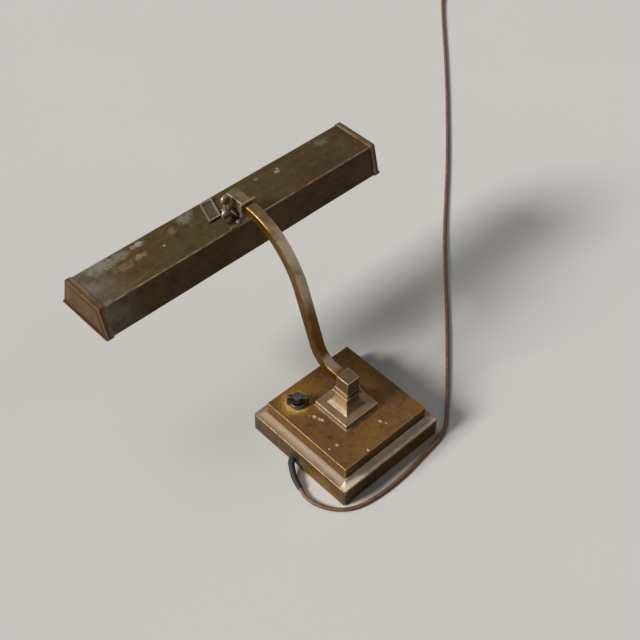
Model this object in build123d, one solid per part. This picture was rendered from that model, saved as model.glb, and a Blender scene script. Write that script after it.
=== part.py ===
from build123d import *
import os
from math import cos, degrees, pi, radians, sin, sqrt, tan

os.makedirs("parts", exist_ok=True)

# A desk lamp on a square stepped base: a bent arm carries a long trough shade on a wing-nut hinge.
# Millimetres. Z is up from the desk, the arm reaches towards -Y and the shade lies along X.

# Driving dimensions: base
BASE_SIDE = 140.0        # outer block, square in plan
BLOCK_H = 24.2           # height of the outer block
LEDGE = 3.0              # flat ledge on top of the outer block
STEP_H = 13.8            # height of the upper block
COVE_W = 5.9             # hollow moulding between the blocks
COVE_H = 3.4
COVE_DEPTH = 0.9         # depth of the hollow below its chord
BEAD_H = 1.6             # thin fillet under the upper block
BEAD_PROUD = 1.6         # fillet beyond the upper block
BASE_WALL = 4.0          # thickness of the casting
EDGE_R = 0.8             # rounding of the casting's upper edges
CORNER_R = 2.5           # upright corners of the lower block
FELT_T = 2.5
FELT_PROUD = 0.6         # the felt stands this far below the casting
PLATE_T = 2.0            # steel bottom plate
PLATE_GAP = 0.4          # plate and felt to the casting's walls
POST_D = 9.0             # posts that take the bottom screws
SCREW_D = 4.0
SCREW_L = 12.0
SCREW_HEAD_D = 7.5
SCREW_HEAD_H = 1.8
SCREW_GAP = 0.3
WEIGHT_EDGE = 9.0        # iron slab on the bottom plate, to the posts beside it
WEIGHT_HOLE_D = 36.0
WEIGHT_GAP = 0.5         # slab to the switch above it

# Driving dimensions: column
FOOT_SIDE = 47.3         # square plate under the column
FOOT_H = 6.0
FOOT_STEP = 0.6          # low step round the plate's top
SHAFT_FOOT = 30.0        # side of the hollow-sided shaft where it meets the plate
SHAFT_NECK = 18.6        # side of the shaft under the fillets
SHAFT_H = 18.4
SHAFT_HOLLOW = 2.6       # depth of the shaft's hollow below its chord
FILLET_SIDE = 22.7       # lower thin fillet
FILLET_H = 2.4
COLLAR_SIDE = 17.6       # neck between the fillets
COLLAR_H = 2.4
UPPER_FILLET_SIDE = 19.5
BLOCK_SIDE = 17.2        # square block that holds the arm
ARM_BLOCK_H = 16.6
PIPE_D = 10.0            # threaded pipe that clamps the column to the base
PIPE_BORE = 7.0
PIPE_GRIP = 4.6          # length screwed into the block
PIPE_GAP = 0.2           # pipe to the holes it passes through
NUT_AF = 16.0
NUT_H = 6.0
WASHER_D = 26.0
WASHER_T = 1.6
PIPE_TAIL = 3.0          # pipe below its nut
WIRE_HOLE_D = 5.6        # way for the wire from the pipe into the arm

# Driving dimensions: arm
ARM_W = 12.5             # tube across the bends
ARM_T = 11.0             # tube in the plane of the bends
ARM_R = 1.6              # rounding of the tube's edges
ARM_WALL = 1.2
ARM_SOCKET = 3.0         # depth of the tube in the block
ARM_FOOT = 9.8           # straight start outside the block
ARM_FOOT_R = 30.0        # bend up from the block
ARM_RISE = 68.8          # steepness of the rise, degrees
ARM_STRAIGHT = 65.6
ARM_CROOK_R = 107.0      # slow bend over
ARM_CROOK = 33.3         # degrees
ARM_TIP_R = 69.6         # closer bend that ends level
ARM_WIRE_D = 4.4
WIRE_GAP = 0.3

# Driving dimensions: hinge
FLANGE_W = 21.0          # plate that closes the end of the tube
FLANGE_H = 17.0
FLANGE_T = 2.5
SPIGOT_L = 7.0           # plug of the flange in the tube
SPIGOT_GAP = 0.05
PIVOT_REACH = 19.0       # flange to pivot
PIVOT_DROP = 2.0         # pivot below the middle of the tube
PIVOT_HEIGHT = 19.0      # pivot above the shade's top
PIVOT_OFFSET = 12.8      # pivot to the shade's middle line, towards the column
EAR_R = 7.0              # rounded ends of the fork
STRAP_T = 2.0            # web over the fork
STRAP_OVER = 9.0         # web beyond the pivot
LUG_T = 5.6              # lug of the saddle between the ears
LUG_GAP = 0.2
LUG_R = 5.2
LUG_FOOT = 16.0
BOLT_D = 5.0
BOLT_GAP = 0.05          # bolt in its holes, radial
BOLT_HEAD_D = 9.0
BOLT_HEAD_H = 3.4
BOLT_TAIL = 2.0          # thread beyond the wing nut
HINGE_WASHER_D = 11.0
HINGE_WASHER_T = 1.2
WING_HUB_D = 10.5
WING_HUB_TOP_D = 8.5
WING_HUB_L = 8.0
WING_GAP = 0.1           # nut to washer
WING_REACH = 9.4         # middle of each wing's lobe from the bolt
WING_LOBE_R = 5.8
WING_OUT = 7.6           # middle of the lobe from the nut's seat
WING_T = 5.2
SADDLE_T = 1.2           # plate on the shade's top
SADDLE_W = 20.0
SADDLE_NEAR = 26.4       # its edge nearest to the column, from the shade's middle line
SADDLE_FAR = -4.0
WING_PLATE_IN = 5.0      # slanted rimmed plate beside the wing nut: its sides at the far edge
WING_PLATE_OUT = 21.2
WING_PLATE_FAR = -23.6
WING_PLATE_NEAR = 4.4
WING_PLATE_SLANT = 9.8
TONGUE_OUT = 20.0        # low tongue of the saddle along the shade's near edge
TONGUE_W = 9.6
RIM_W = 2.4
RIM_H = 1.0
RIVET_D = 3.0
RIVET_HEAD_D = 5.4
RIVET_HEAD_H = 1.3
RIVET_X = 7.4            # rivets from the middle of the saddle
RIVET_EDGE = 3.6         # rivets from the saddle's near and far edges

# Driving dimensions: shade
SHADE_L = 371.0          # over the end caps
SHADE_TOP_W = 54.0       # trough's flat top
SHADE_MOUTH_W = 72.4     # trough across its open side
SHADE_H = 34.6
SHEET_T = 1.0
BEND_R = 1.4             # outside of the bends along the top
HEM_H = 4.0              # sheet folded inwards along the mouth
CAP_T = 1.0              # sheet of the end caps
CAP_BAND = 6.0           # cap's band round the trough
CAP_LIP = 2.4            # lip turned out along the cap's lower edge
CAP_PANEL = 5.0          # margin round the cap's pressed panel
CAP_PANEL_H = 0.8
BRACKET_T = 1.2          # bracket that carries both lamp sockets
BRACKET_W = 28.0
BRACKET_FAR = -11.0
BRACKET_EDGE = 2.4       # bracket beyond the near rivets
BRACKET_LEG_W = 22.0
BRACKET_LEG = 28.0
SOCKET_D = 24.0
SOCKET_L = 32.0
SOCKET_DROP = 17.2       # lamp axis below the shade's top
BULB_CAP_D = 17.0
BULB_CAP_L = 22.0
BULB_FIT = 0.1
BULB_D = 25.4
BULB_CLEAR = 20.5        # lamp to the end cap
BULB_NECK_L = 14.0
GLASS_T = 1.0
SHADE_WIRE_D = 4.0
SHADE_WIRE_DROP = 11.0   # wire below the shade's top

# Driving dimensions: switch
KNOB_SHARE = 0.3585      # knob's place on the flat between column and edge, from the column
SKIRT_D = 17.5
SKIRT_H = 4.0
HUB_D = 11.6
BAR_L = 24.0
BAR_W = 6.0
BAR_END_R = 2.2
KNOB_H = 13.5
KNOB_LIFT = 0.5          # skirt above the base
KNOB_TURN = 135.0        # direction of the bar seen from above, degrees from +X
KNOB_FLUTES = 24
FLUTE_D = 0.9
BUSHING_D = 9.6
BUSHING_GAP = 0.15
SWITCH_NUT_D = 13.6
SWITCH_NUT_H = 2.2
NUT_CLEAR = 0.5          # nut inside the knob's skirt
SWITCH_D = 20.0          # round switch body under the base's top
SWITCH_H = 20.0
SHAFT_D = 4.8
SHAFT_GAP = 0.05
SHAFT_GRIP = 7.0         # shaft in the knob
SHAFT_DEPTH = 6.0        # shaft below the base's top

# Driving dimensions: cord
CORD_D = 4.2
EXIT_Y = -5.4
EXIT_Z = 11.0
GROMMET_D = 11.0
GROMMET_T = 1.2
GROMMET_WALL = 0.8
GROMMET_GAP = 0.1
SLEEVE_D = 7.6           # rubber sleeve at the base
SLEEVE_TIP_D = 5.8
SLEEVE_FIT = 0.1
FLOOR_GAP = 0.1          # cord above the desk
COIL_PITCH = 5.0         # turn to turn and layer to layer
COIL_R = 18.9            # innermost turn
COIL_IN = 9              # quarter turns from the lead to the middle of the climb
COIL_OUT = 8             # quarter turns from there to the plug
COIL_TAIL = 24.0         # straight end at the plug
TIE_T = 1.0
TIE_W = 6.0
TIE_GAP = 0.4
PLUG_L = 26.0
PLUG_W = 22.0
PLUG_NECK = 9.0
PLUG_TAPER = 10.0
PLUG_R = 4.0
BLADE_L = 16.0
BLADE_W = 6.3
BLADE_T = 1.5
BLADE_PITCH = 12.7

# Heights and places that follow from them
base_h = BLOCK_H + COVE_H + BEAD_H + STEP_H
cavity = BASE_SIDE / 2 - BASE_WALL
step = BASE_SIDE / 2 - LEDGE - COVE_W - BEAD_PROUD
knob_x = FOOT_SIDE / 2 + KNOB_SHARE * (step - FOOT_SIDE / 2)
knob_y = -knob_x
plate_z = FELT_T
post_z = FELT_T + PLATE_T
post_xy = cavity - POST_D / 2
ceiling = base_h - BASE_WALL
foot_z = base_h
shaft_z = foot_z + FOOT_H
neck_z = shaft_z + SHAFT_H
block_z = neck_z + 2 * FILLET_H + COLLAR_H
arm_z = block_z + ARM_BLOCK_H / 2
bore_w = ARM_W - 2 * ARM_WALL
bore_t = ARM_T - 2 * ARM_WALL
flare = (SHADE_MOUTH_W - SHADE_TOP_W) / 2 / SHADE_H
slope = sqrt(1 + flare ** 2)
bulb_l = SHADE_L / 2 - CAP_T - BULB_CLEAR - BRACKET_W / 2 - SOCKET_L


def save(shape, node):
    export_step(shape, f"parts/{node}.step")


def at(x, y, z):
    return Location((x, y, z))


def each(spots, sketch):
    # One sketch with a copy at every spot.
    return Sketch() + [spot * sketch for spot in spots]


def square_moulding(outline):
    # The half outline is mirrored, run across in X and in Y, and the two runs are intersected,
    # so that every moulding is mitred at the four corners.
    half = make_face([edge for line in outline for edge in line.edges()])
    face = half + mirror(half, about=Plane.YZ)
    across = extrude(Plane.XZ * face, amount=face.bounding_box().size.X, both=True)
    return across & (Rot(0, 0, 90) * across)


def tube_along(path, diameter):
    return sweep(Plane(origin=path @ 0, z_dir=path % 0) * Circle(diameter / 2), path=path)


def route(points, name):
    # Straight runs joined by tangent arcs, each as large as the shorter of its two runs allows.
    spots = [Vector(*point) for point in points]
    radii = []
    for before, here, after in zip(spots, spots[1:], spots[2:]):
        turn = (here - before).get_angle(after - here)
        shorter = min((here - before).length, (after - here).length)
        radii.append(0.45 * shorter / tan(radians(turn) / 2))
    print(name, "radii", [round(radius) for radius in radii])
    return FilletPolyline(*spots, radius=radii)


# Base casting: two blocks with a hollow moulding and a fillet between, hollow from below
def make_base():
    outer = BASE_SIDE / 2
    bead = step + BEAD_PROUD
    cove_z = BLOCK_H + COVE_H
    bead_z = cove_z + BEAD_H
    outline = [
        Polyline((0, FELT_PROUD), (outer, FELT_PROUD), (outer, BLOCK_H), (outer - LEDGE, BLOCK_H)),
        SagittaArc((outer - LEDGE, BLOCK_H), (bead, cove_z), -COVE_DEPTH),
        Polyline((bead, cove_z), (bead, bead_z), (step, bead_z), (step, base_h), (0, base_h)),
        Line((0, base_h), (0, FELT_PROUD)),
    ]
    casting = square_moulding(outline)
    casting = fillet(casting.edges().filter_by(Axis.Z).group_by(SortBy.LENGTH)[-1], CORNER_R)
    casting = fillet(casting.edges().group_by(Axis.Z)[-1], EDGE_R)
    low = BLOCK_H - BASE_WALL
    high = step - BASE_WALL
    casting -= extrude(Rectangle(2 * cavity, 2 * cavity), amount=low)
    casting -= extrude(Rectangle(2 * high, 2 * high), amount=ceiling)
    corners = GridLocations(2 * post_xy, 2 * post_xy, 2, 2)
    casting += at(0, 0, post_z) * extrude(each(corners, Circle(POST_D / 2)), amount=low - post_z)
    casting -= at(0, 0, post_z) * extrude(each(corners, Circle(SCREW_D / 2)), amount=SCREW_L)
    casting -= at(0, 0, ceiling) * extrude(Circle(PIPE_D / 2 + PIPE_GAP), amount=BASE_WALL)
    casting -= at(knob_x, knob_y, ceiling) * extrude(Circle(BUSHING_D / 2 + BUSHING_GAP), amount=BASE_WALL)
    hole = Plane(origin=(cavity, EXIT_Y, EXIT_Z), z_dir=(1, 0, 0))
    exit_r = SLEEVE_D / 2 + SLEEVE_FIT + GROMMET_WALL + GROMMET_GAP
    casting -= extrude(hole * Circle(exit_r), amount=BASE_WALL)
    return casting


def make_bottom():
    side = 2 * (cavity - PLATE_GAP)
    corners = GridLocations(2 * post_xy, 2 * post_xy, 2, 2)
    head_holes = each(corners, Circle(SCREW_HEAD_D / 2 + SCREW_GAP))
    felt = extrude(Rectangle(side, side) - head_holes, amount=FELT_T)
    plate = extrude(Rectangle(side, side) - each(corners, Circle(SCREW_D / 2 + SCREW_GAP)), amount=PLATE_T)
    screw = at(0, 0, plate_z - SCREW_HEAD_H) * extrude(Circle(SCREW_HEAD_D / 2), amount=SCREW_HEAD_H)
    screw += at(0, 0, plate_z) * extrude(Circle(SCREW_D / 2), amount=PLATE_T + SCREW_L)
    screws = [spot * screw for spot in corners]
    top = ceiling - SWITCH_H - WEIGHT_GAP
    slab = 2 * (post_xy - POST_D / 2 - WEIGHT_EDGE)
    weight = extrude(Rectangle(slab, slab) - Circle(WEIGHT_HOLE_D / 2), amount=top - post_z)
    return felt, at(0, 0, plate_z) * plate, Compound(children=screws), at(0, 0, post_z) * weight


# Column: square plate and hollow-sided shaft, two thin fillets, and the block for the arm
def make_column():
    plate = FOOT_SIDE / 2
    foot = SHAFT_FOOT / 2
    neck = SHAFT_NECK / 2
    column = square_moulding([
        Polyline((0, foot_z), (plate, foot_z), (plate, shaft_z - FOOT_STEP), (plate - FOOT_STEP, shaft_z)),
        Line((plate - FOOT_STEP, shaft_z), (foot, shaft_z)),
        SagittaArc((foot, shaft_z), (neck, neck_z), -SHAFT_HOLLOW),
        Polyline((neck, neck_z), (0, neck_z), (0, foot_z)),
    ])
    lower = neck_z + FILLET_H
    upper = lower + COLLAR_H
    fillets = at(0, 0, neck_z) * extrude(Rectangle(FILLET_SIDE, FILLET_SIDE), amount=FILLET_H)
    fillets += at(0, 0, lower) * extrude(Rectangle(COLLAR_SIDE, COLLAR_SIDE), amount=COLLAR_H)
    fillets += at(0, 0, upper) * extrude(Rectangle(UPPER_FILLET_SIDE, UPPER_FILLET_SIDE), amount=FILLET_H)
    through = extrude(Circle(PIPE_D / 2 + PIPE_GAP), amount=block_z)
    block = at(0, 0, block_z) * extrude(Rectangle(BLOCK_SIDE, BLOCK_SIDE), amount=ARM_BLOCK_H)
    block = fillet(block.edges().group_by(Axis.Z)[-1], EDGE_R)
    block -= at(0, 0, block_z) * extrude(Circle(PIPE_D / 2), amount=PIPE_GRIP)
    block -= at(0, 0, block_z) * extrude(Circle(PIPE_BORE / 2), amount=ARM_BLOCK_H / 2)
    face = Plane(origin=(0, -BLOCK_SIDE / 2, arm_z), x_dir=(1, 0, 0), z_dir=(0, 1, 0))
    block -= extrude(face * RectangleRounded(ARM_W, ARM_T, ARM_R), amount=ARM_SOCKET)
    block -= extrude(face * Circle(WIRE_HOLE_D / 2), amount=BLOCK_SIDE / 2)
    return column - through, fillets - through, block


def make_pipe():
    top = block_z + PIPE_GRIP
    nut_z = ceiling - WASHER_T - NUT_H
    bottom = nut_z - PIPE_TAIL
    pipe = at(0, 0, bottom) * extrude(Circle(PIPE_D / 2) - Circle(PIPE_BORE / 2), amount=top - bottom)
    hexagon = RegularPolygon(NUT_AF / 2, 6, major_radius=False)
    nut = at(0, 0, nut_z) * extrude(hexagon - Circle(PIPE_D / 2), amount=NUT_H)
    washer = Circle(WASHER_D / 2) - Circle(PIPE_D / 2 + PIPE_GAP)
    return pipe, nut, at(0, 0, ceiling - WASHER_T) * extrude(washer, amount=WASHER_T)


# Arm: rectangular tube along straight runs and tangent bends in the YZ plane
def arm_line(shift=0.0, start=ARM_SOCKET):
    # The tube's middle line, or a line beside it, shifted towards the tube's upper side.
    run = Line((start - BLOCK_SIDE / 2, arm_z + shift), (-BLOCK_SIDE / 2 - ARM_FOOT, arm_z + shift))
    lower = JernArc(run @ 1, run % 1, ARM_FOOT_R - shift, -ARM_RISE)
    rise = Line(lower @ 1, lower @ 1 + (lower % 1) * ARM_STRAIGHT)
    crook = JernArc(rise @ 1, rise % 1, ARM_CROOK_R + shift, ARM_CROOK)
    over = JernArc(crook @ 1, crook % 1, ARM_TIP_R + shift, ARM_RISE - ARM_CROOK)
    return Plane.YZ * Wire([run.edge(), lower.edge(), rise.edge(), crook.edge(), over.edge()])


def make_arm():
    path = arm_line()
    section = Plane(origin=path @ 0, x_dir=(1, 0, 0), z_dir=path % 0)
    tube = sweep(section * RectangleRounded(ARM_W, ARM_T, ARM_R), path=path)
    tube -= sweep(section * Rectangle(bore_w, bore_t), path=path)
    wire_line = arm_line(ARM_WIRE_D / 2 + WIRE_GAP - bore_t / 2)
    return tube, tube_along(wire_line, ARM_WIRE_D)


tip = arm_line() @ 1
pivot_y = tip.Y - PIVOT_REACH
pivot_z = tip.Z - PIVOT_DROP
shade_y = pivot_y - PIVOT_OFFSET
shade_z = pivot_z - PIVOT_HEIGHT
strap_z = tip.Z + ARM_T / 2
wire_u = SADDLE_NEAR - RIVET_EDGE      # wire hole in line with the near rivets
print("arm tip", round(tip.Y, 2), round(tip.Z, 2), "pivot", round(pivot_y, 2), round(pivot_z, 2))
print("shade top", round(shade_z, 2), "shade middle", round(shade_y, 2))


# Hinge: a fork on the arm, a lug on the shade's saddle, and a bolt with a wing nut
def across_x(sketch, width):
    # A sketch in Y and Z, made as thick as width about the arm's plane.
    return extrude(Plane.YZ * sketch, amount=width / 2, both=True)


def make_knuckle():
    root_y = tip.Y - FLANGE_T
    low = pivot_z - EAR_R
    body = Pos((root_y + pivot_y) / 2, (strap_z + low) / 2) * Rectangle(root_y - pivot_y, strap_z - low)
    body += Pos(pivot_y, pivot_z) * Circle(EAR_R)
    web = Pos(pivot_y - STRAP_OVER / 2, strap_z - STRAP_T / 2) * Rectangle(STRAP_OVER, STRAP_T)
    knuckle = across_x(body + web, ARM_W)
    slot_y = pivot_y - 2 * EAR_R
    slot_h = strap_z - STRAP_T - low
    slot = Pos((root_y + slot_y) / 2, low + slot_h / 2) * Rectangle(root_y - slot_y, slot_h)
    knuckle -= across_x(slot, LUG_T + 2 * LUG_GAP)
    face = Plane(origin=(0, tip.Y, tip.Z), x_dir=(1, 0, 0), z_dir=(0, 1, 0))
    knuckle += extrude(face * RectangleRounded(FLANGE_W, FLANGE_H, ARM_R), amount=-FLANGE_T)
    bend = JernArc((tip.Y, tip.Z), (1, 0), ARM_TIP_R, -degrees(SPIGOT_L / ARM_TIP_R))
    plug_line = Plane.YZ * Wire([bend.edge()])
    wire_low = bore_t / 2 - ARM_WIRE_D / 2 - WIRE_GAP
    passage = Pos(0, wire_low) * Circle(ARM_WIRE_D / 2 + WIRE_GAP)
    slot = Pos(0, wire_low + bore_t / 4) * Rectangle(ARM_WIRE_D + 2 * WIRE_GAP, bore_t / 2)
    spigot = Rectangle(bore_w - 2 * SPIGOT_GAP, bore_t - 2 * SPIGOT_GAP) - passage - slot
    knuckle -= extrude(face * passage, amount=-FLANGE_T)
    knuckle += sweep(face * spigot, path=plug_line)
    return knuckle - across_x(Pos(pivot_y, pivot_z) * Circle(BOLT_D / 2 + BOLT_GAP), FLANGE_W)


def make_bolt():
    seat = Plane(origin=(-ARM_W / 2, pivot_y, pivot_z), z_dir=(1, 0, 0))
    length = ARM_W + HINGE_WASHER_T + WING_GAP + WING_HUB_L + BOLT_TAIL
    bolt = extrude(seat * Circle(BOLT_D / 2), amount=length)
    head = extrude(seat * Circle(BOLT_HEAD_D / 2), amount=-BOLT_HEAD_H)
    head = fillet(head.edges().group_by(Axis.X)[0], BOLT_HEAD_H / 3)
    ring = Circle(HINGE_WASHER_D / 2) - Circle(BOLT_D / 2 + BOLT_GAP)
    washer = extrude(at(ARM_W, 0, 0) * (seat * ring), amount=HINGE_WASHER_T)
    return bolt + head, washer


def make_wing_nut():
    seat_x = ARM_W / 2 + HINGE_WASHER_T + WING_GAP
    hub = Polyline((0, 0), (0, WING_HUB_D / 2), (WING_HUB_L, WING_HUB_TOP_D / 2), (WING_HUB_L, 0), (0, 0))
    nut = revolve(make_face(hub.edges()), axis=Axis.X)
    lobe = Pos(WING_OUT, WING_REACH) * Circle(WING_LOBE_R)
    web = Polygon(
        (0.2 * WING_HUB_L, WING_HUB_TOP_D / 4),
        (WING_HUB_L, WING_HUB_TOP_D / 4),
        (WING_OUT + WING_LOBE_R, WING_REACH),
        (WING_OUT - WING_LOBE_R, WING_REACH),
        align=None,
    )
    wing = extrude(Plane.XZ * (lobe + web), amount=WING_T / 2, both=True)
    wing = fillet(wing.faces().filter_by(Axis.Y).edges(), WING_T / 3)
    nut += wing + Rot(180, 0, 0) * wing
    nut -= extrude(Plane.YZ * Circle(BOLT_D / 2 + BOLT_GAP), amount=2 * WING_HUB_L, both=True)
    return at(seat_x, pivot_y, pivot_z) * nut


# Shade: all of it is drawn about the middle of the trough's top, then put in place below the hinge
def on_shade(shape):
    return at(0, shade_y, shade_z) * shape


def trough_outline(inset, top, bottom, radius):
    # The trough's cross-section in Y and Z, drawn in from its outer faces by inset.
    high = SHADE_TOP_W / 2 - top * flare - inset * slope
    low = SHADE_TOP_W / 2 - bottom * flare - inset * slope
    face = Polygon((-low, bottom), (low, bottom), (high, top), (-high, top), align=None)
    return fillet(face.vertices().group_by(Axis.Y)[-1], radius)


def make_trough():
    skin = trough_outline(0, 0, -SHADE_H, BEND_R)
    skin -= trough_outline(SHEET_T, -SHEET_T, -SHADE_H - HEM_H, BEND_R - SHEET_T)
    band = trough_outline(SHEET_T, -SHADE_H + HEM_H, -SHADE_H, BEND_R - SHEET_T)
    hem = trough_outline(2 * SHEET_T, -SHADE_H + 2 * HEM_H, -SHADE_H - HEM_H, BEND_R)
    trough = across_x(skin + (band - hem), SHADE_L - 2 * CAP_T)
    holes = each(rivet_spots(), Circle(RIVET_D / 2))
    holes += Pos(0, wire_u) * Circle(SHADE_WIRE_D / 2 + WIRE_GAP)
    return on_shade(trough - at(0, 0, -SHEET_T) * extrude(holes, amount=SHEET_T))


def make_cap(side):
    # A pressed pan: end plate with a raised panel, a band over the trough, and a lip along the mouth.
    whole = trough_outline(-CAP_T, CAP_T, -SHADE_H, BEND_R + CAP_T)
    plate = Plane.YZ * whole
    cap = extrude(plate, amount=CAP_T)
    band = whole - trough_outline(0, 0, -SHADE_H - HEM_H, BEND_R)
    cap += extrude(Plane.YZ * band, amount=-CAP_BAND)
    panel = trough_outline(CAP_PANEL, -CAP_PANEL, -SHADE_H + CAP_PANEL, BEND_R)
    cap += at(CAP_T, 0, 0) * extrude(Plane.YZ * panel, amount=CAP_PANEL_H, taper=30)
    lip = trough_outline(-CAP_T, -SHADE_H + CAP_T, -SHADE_H, CAP_T / 4)
    cap += extrude(Plane.YZ * lip, amount=CAP_T + CAP_LIP)
    cap = at(SHADE_L / 2 - CAP_T, 0, 0) * cap
    return on_shade(cap if side > 0 else mirror(cap, about=Plane.YZ))


def rivet_spots():
    near = SADDLE_NEAR - RIVET_EDGE
    far = SADDLE_FAR + RIVET_EDGE
    return [Pos(x, y) for x in (-RIVET_X, RIVET_X) for y in (far, near)]


def make_saddle():
    middle = Pos(0, (SADDLE_NEAR + SADDLE_FAR) / 2) * Rectangle(SADDLE_W, SADDLE_NEAR - SADDLE_FAR)
    side_plate = Polygon(
        (WING_PLATE_IN, WING_PLATE_FAR),
        (WING_PLATE_OUT, WING_PLATE_FAR),
        (WING_PLATE_OUT + WING_PLATE_SLANT, WING_PLATE_NEAR),
        (WING_PLATE_IN + WING_PLATE_SLANT, WING_PLATE_NEAR),
        align=None,
    )
    tab = Polygon(
        (SADDLE_W / 4, WING_PLATE_NEAR / 2),
        (WING_PLATE_OUT, WING_PLATE_NEAR / 2),
        (WING_PLATE_OUT, WING_PLATE_NEAR),
        (SADDLE_W / 4, WING_PLATE_NEAR),
        align=None,
    )
    tongue = Pos(TONGUE_OUT / 2, SADDLE_NEAR - TONGUE_W / 2) * Rectangle(TONGUE_OUT, TONGUE_W)
    saddle = extrude(middle + side_plate + tab + tongue, amount=SADDLE_T)
    rim = side_plate - offset(side_plate, -RIM_W)
    saddle += extrude(rim, amount=SADDLE_T + RIM_H)
    lug = Polygon(
        (PIVOT_OFFSET - LUG_FOOT / 2, 0),
        (PIVOT_OFFSET + LUG_FOOT / 2, 0),
        (PIVOT_OFFSET + LUG_R, PIVOT_HEIGHT),
        (PIVOT_OFFSET - LUG_R, PIVOT_HEIGHT),
        align=None,
    )
    pivot = Pos(PIVOT_OFFSET, PIVOT_HEIGHT)
    lug = lug + pivot * Circle(LUG_R) - pivot * Circle(BOLT_D / 2 + BOLT_GAP)
    saddle += across_x(lug, LUG_T)
    holes = each(rivet_spots(), Circle(RIVET_D / 2))
    holes += Pos(0, wire_u) * Circle(SHADE_WIRE_D / 2 + WIRE_GAP)
    return on_shade(saddle - extrude(holes, amount=SADDLE_T))


def make_rivets():
    grip = SADDLE_T + SHEET_T + BRACKET_T
    shank = at(0, 0, SADDLE_T - grip) * extrude(Circle(RIVET_D / 2), amount=grip)
    head = extrude(Circle(RIVET_HEAD_D / 2), amount=RIVET_HEAD_H)
    head = chamfer(head.edges().group_by(Axis.Z)[-1], RIVET_HEAD_H / 2)
    rivet = shank + at(0, 0, SADDLE_T) * head + at(0, 0, SADDLE_T - grip) * (Rot(180, 0, 0) * head)
    return on_shade(Compound(children=[spot * rivet for spot in rivet_spots()]))


def make_bracket():
    near = SADDLE_NEAR - RIVET_EDGE + BRACKET_EDGE
    top = Pos(0, (near + BRACKET_FAR) / 2) * Rectangle(BRACKET_W, near - BRACKET_FAR)
    top -= each(rivet_spots(), Circle(RIVET_D / 2))
    top -= Pos(0, wire_u) * Circle(SHADE_WIRE_D / 2 + WIRE_GAP)
    bracket = extrude(top, amount=-BRACKET_T)
    leg = Pos(0, -BRACKET_LEG / 2) * RectangleRounded(BRACKET_LEG_W, BRACKET_LEG, BRACKET_LEG_W / 4)
    leg += Pos(0, -BRACKET_LEG / 4) * Rectangle(BRACKET_LEG_W, BRACKET_LEG / 2)
    leg = extrude(Plane.YZ * leg, amount=-BRACKET_T)
    bracket += at(BRACKET_W / 2, 0, 0) * leg + at(BRACKET_T - BRACKET_W / 2, 0, 0) * leg
    return on_shade(at(0, 0, -SHEET_T) * bracket)


def make_lamp(side):
    # A socket on the bracket's leg and a tubular lamp in it, drawn along +X and turned to its side.
    seat = BRACKET_W / 2
    mouth = seat + SOCKET_L
    socket = extrude(Plane.YZ * Circle(SOCKET_D / 2), amount=SOCKET_L)
    socket = fillet(socket.edges().group_by(Axis.X)[-1], 1.0)
    bore = extrude(Plane.YZ * Circle(BULB_CAP_D / 2 + BULB_FIT), amount=BULB_CAP_L)
    socket = at(seat, 0, 0) * (socket - at(SOCKET_L - BULB_CAP_L, 0, 0) * bore)
    cap = at(mouth - BULB_CAP_L, 0, 0) * extrude(Plane.YZ * Circle(BULB_CAP_D / 2), amount=BULB_CAP_L)
    neck = BULB_CAP_D / 2
    full = BULB_D / 2
    thin = full - GLASS_T
    outline = [
        Polyline((0, neck - GLASS_T), (0, neck), (BULB_NECK_L, full), (bulb_l - full, full)),
        RadiusArc((bulb_l - full, full), (bulb_l, 0), full),
        Line((bulb_l, 0), (bulb_l - GLASS_T, 0)),
        RadiusArc((bulb_l - GLASS_T, 0), (bulb_l - full, thin), -thin),
        Polyline((bulb_l - full, thin), (BULB_NECK_L, thin), (0, neck - GLASS_T)),
    ]
    glass = revolve(make_face([edge for line in outline for edge in line.edges()]), axis=Axis.X)
    turn = at(0, 0, -SOCKET_DROP) * Rot(0, 0, 0 if side > 0 else 180)
    return [on_shade(turn * piece) for piece in (socket, cap, at(mouth, 0, 0) * glass)]


def make_shade_wire():
    drop = SADDLE_T + SHADE_WIRE_DROP
    path = FilletPolyline(
        (0, wire_u, SADDLE_T), (0, wire_u, SADDLE_T - drop), (0, BRACKET_FAR / 2, SADDLE_T - drop),
        radius=2 * SHADE_WIRE_D,
    )
    return on_shade(tube_along(path, SHADE_WIRE_D))


# Switch: body and bushing under the base's top, nut above it, and a bar knob on the shaft
def make_switch():
    spot = at(knob_x, knob_y, 0)
    body = spot * at(0, 0, ceiling - SWITCH_H) * extrude(Circle(SWITCH_D / 2), amount=SWITCH_H)
    bushing = extrude(Circle(BUSHING_D / 2), amount=BASE_WALL + SWITCH_NUT_H)
    body += spot * at(0, 0, ceiling) * bushing
    well = extrude(Circle(SHAFT_D / 2 + SHAFT_GAP), amount=SHAFT_DEPTH + SWITCH_NUT_H)
    body -= spot * at(0, 0, base_h - SHAFT_DEPTH) * well
    nut = extrude(Circle(SWITCH_NUT_D / 2) - Circle(BUSHING_D / 2), amount=SWITCH_NUT_H)
    return body, spot * at(0, 0, base_h) * nut


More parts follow.
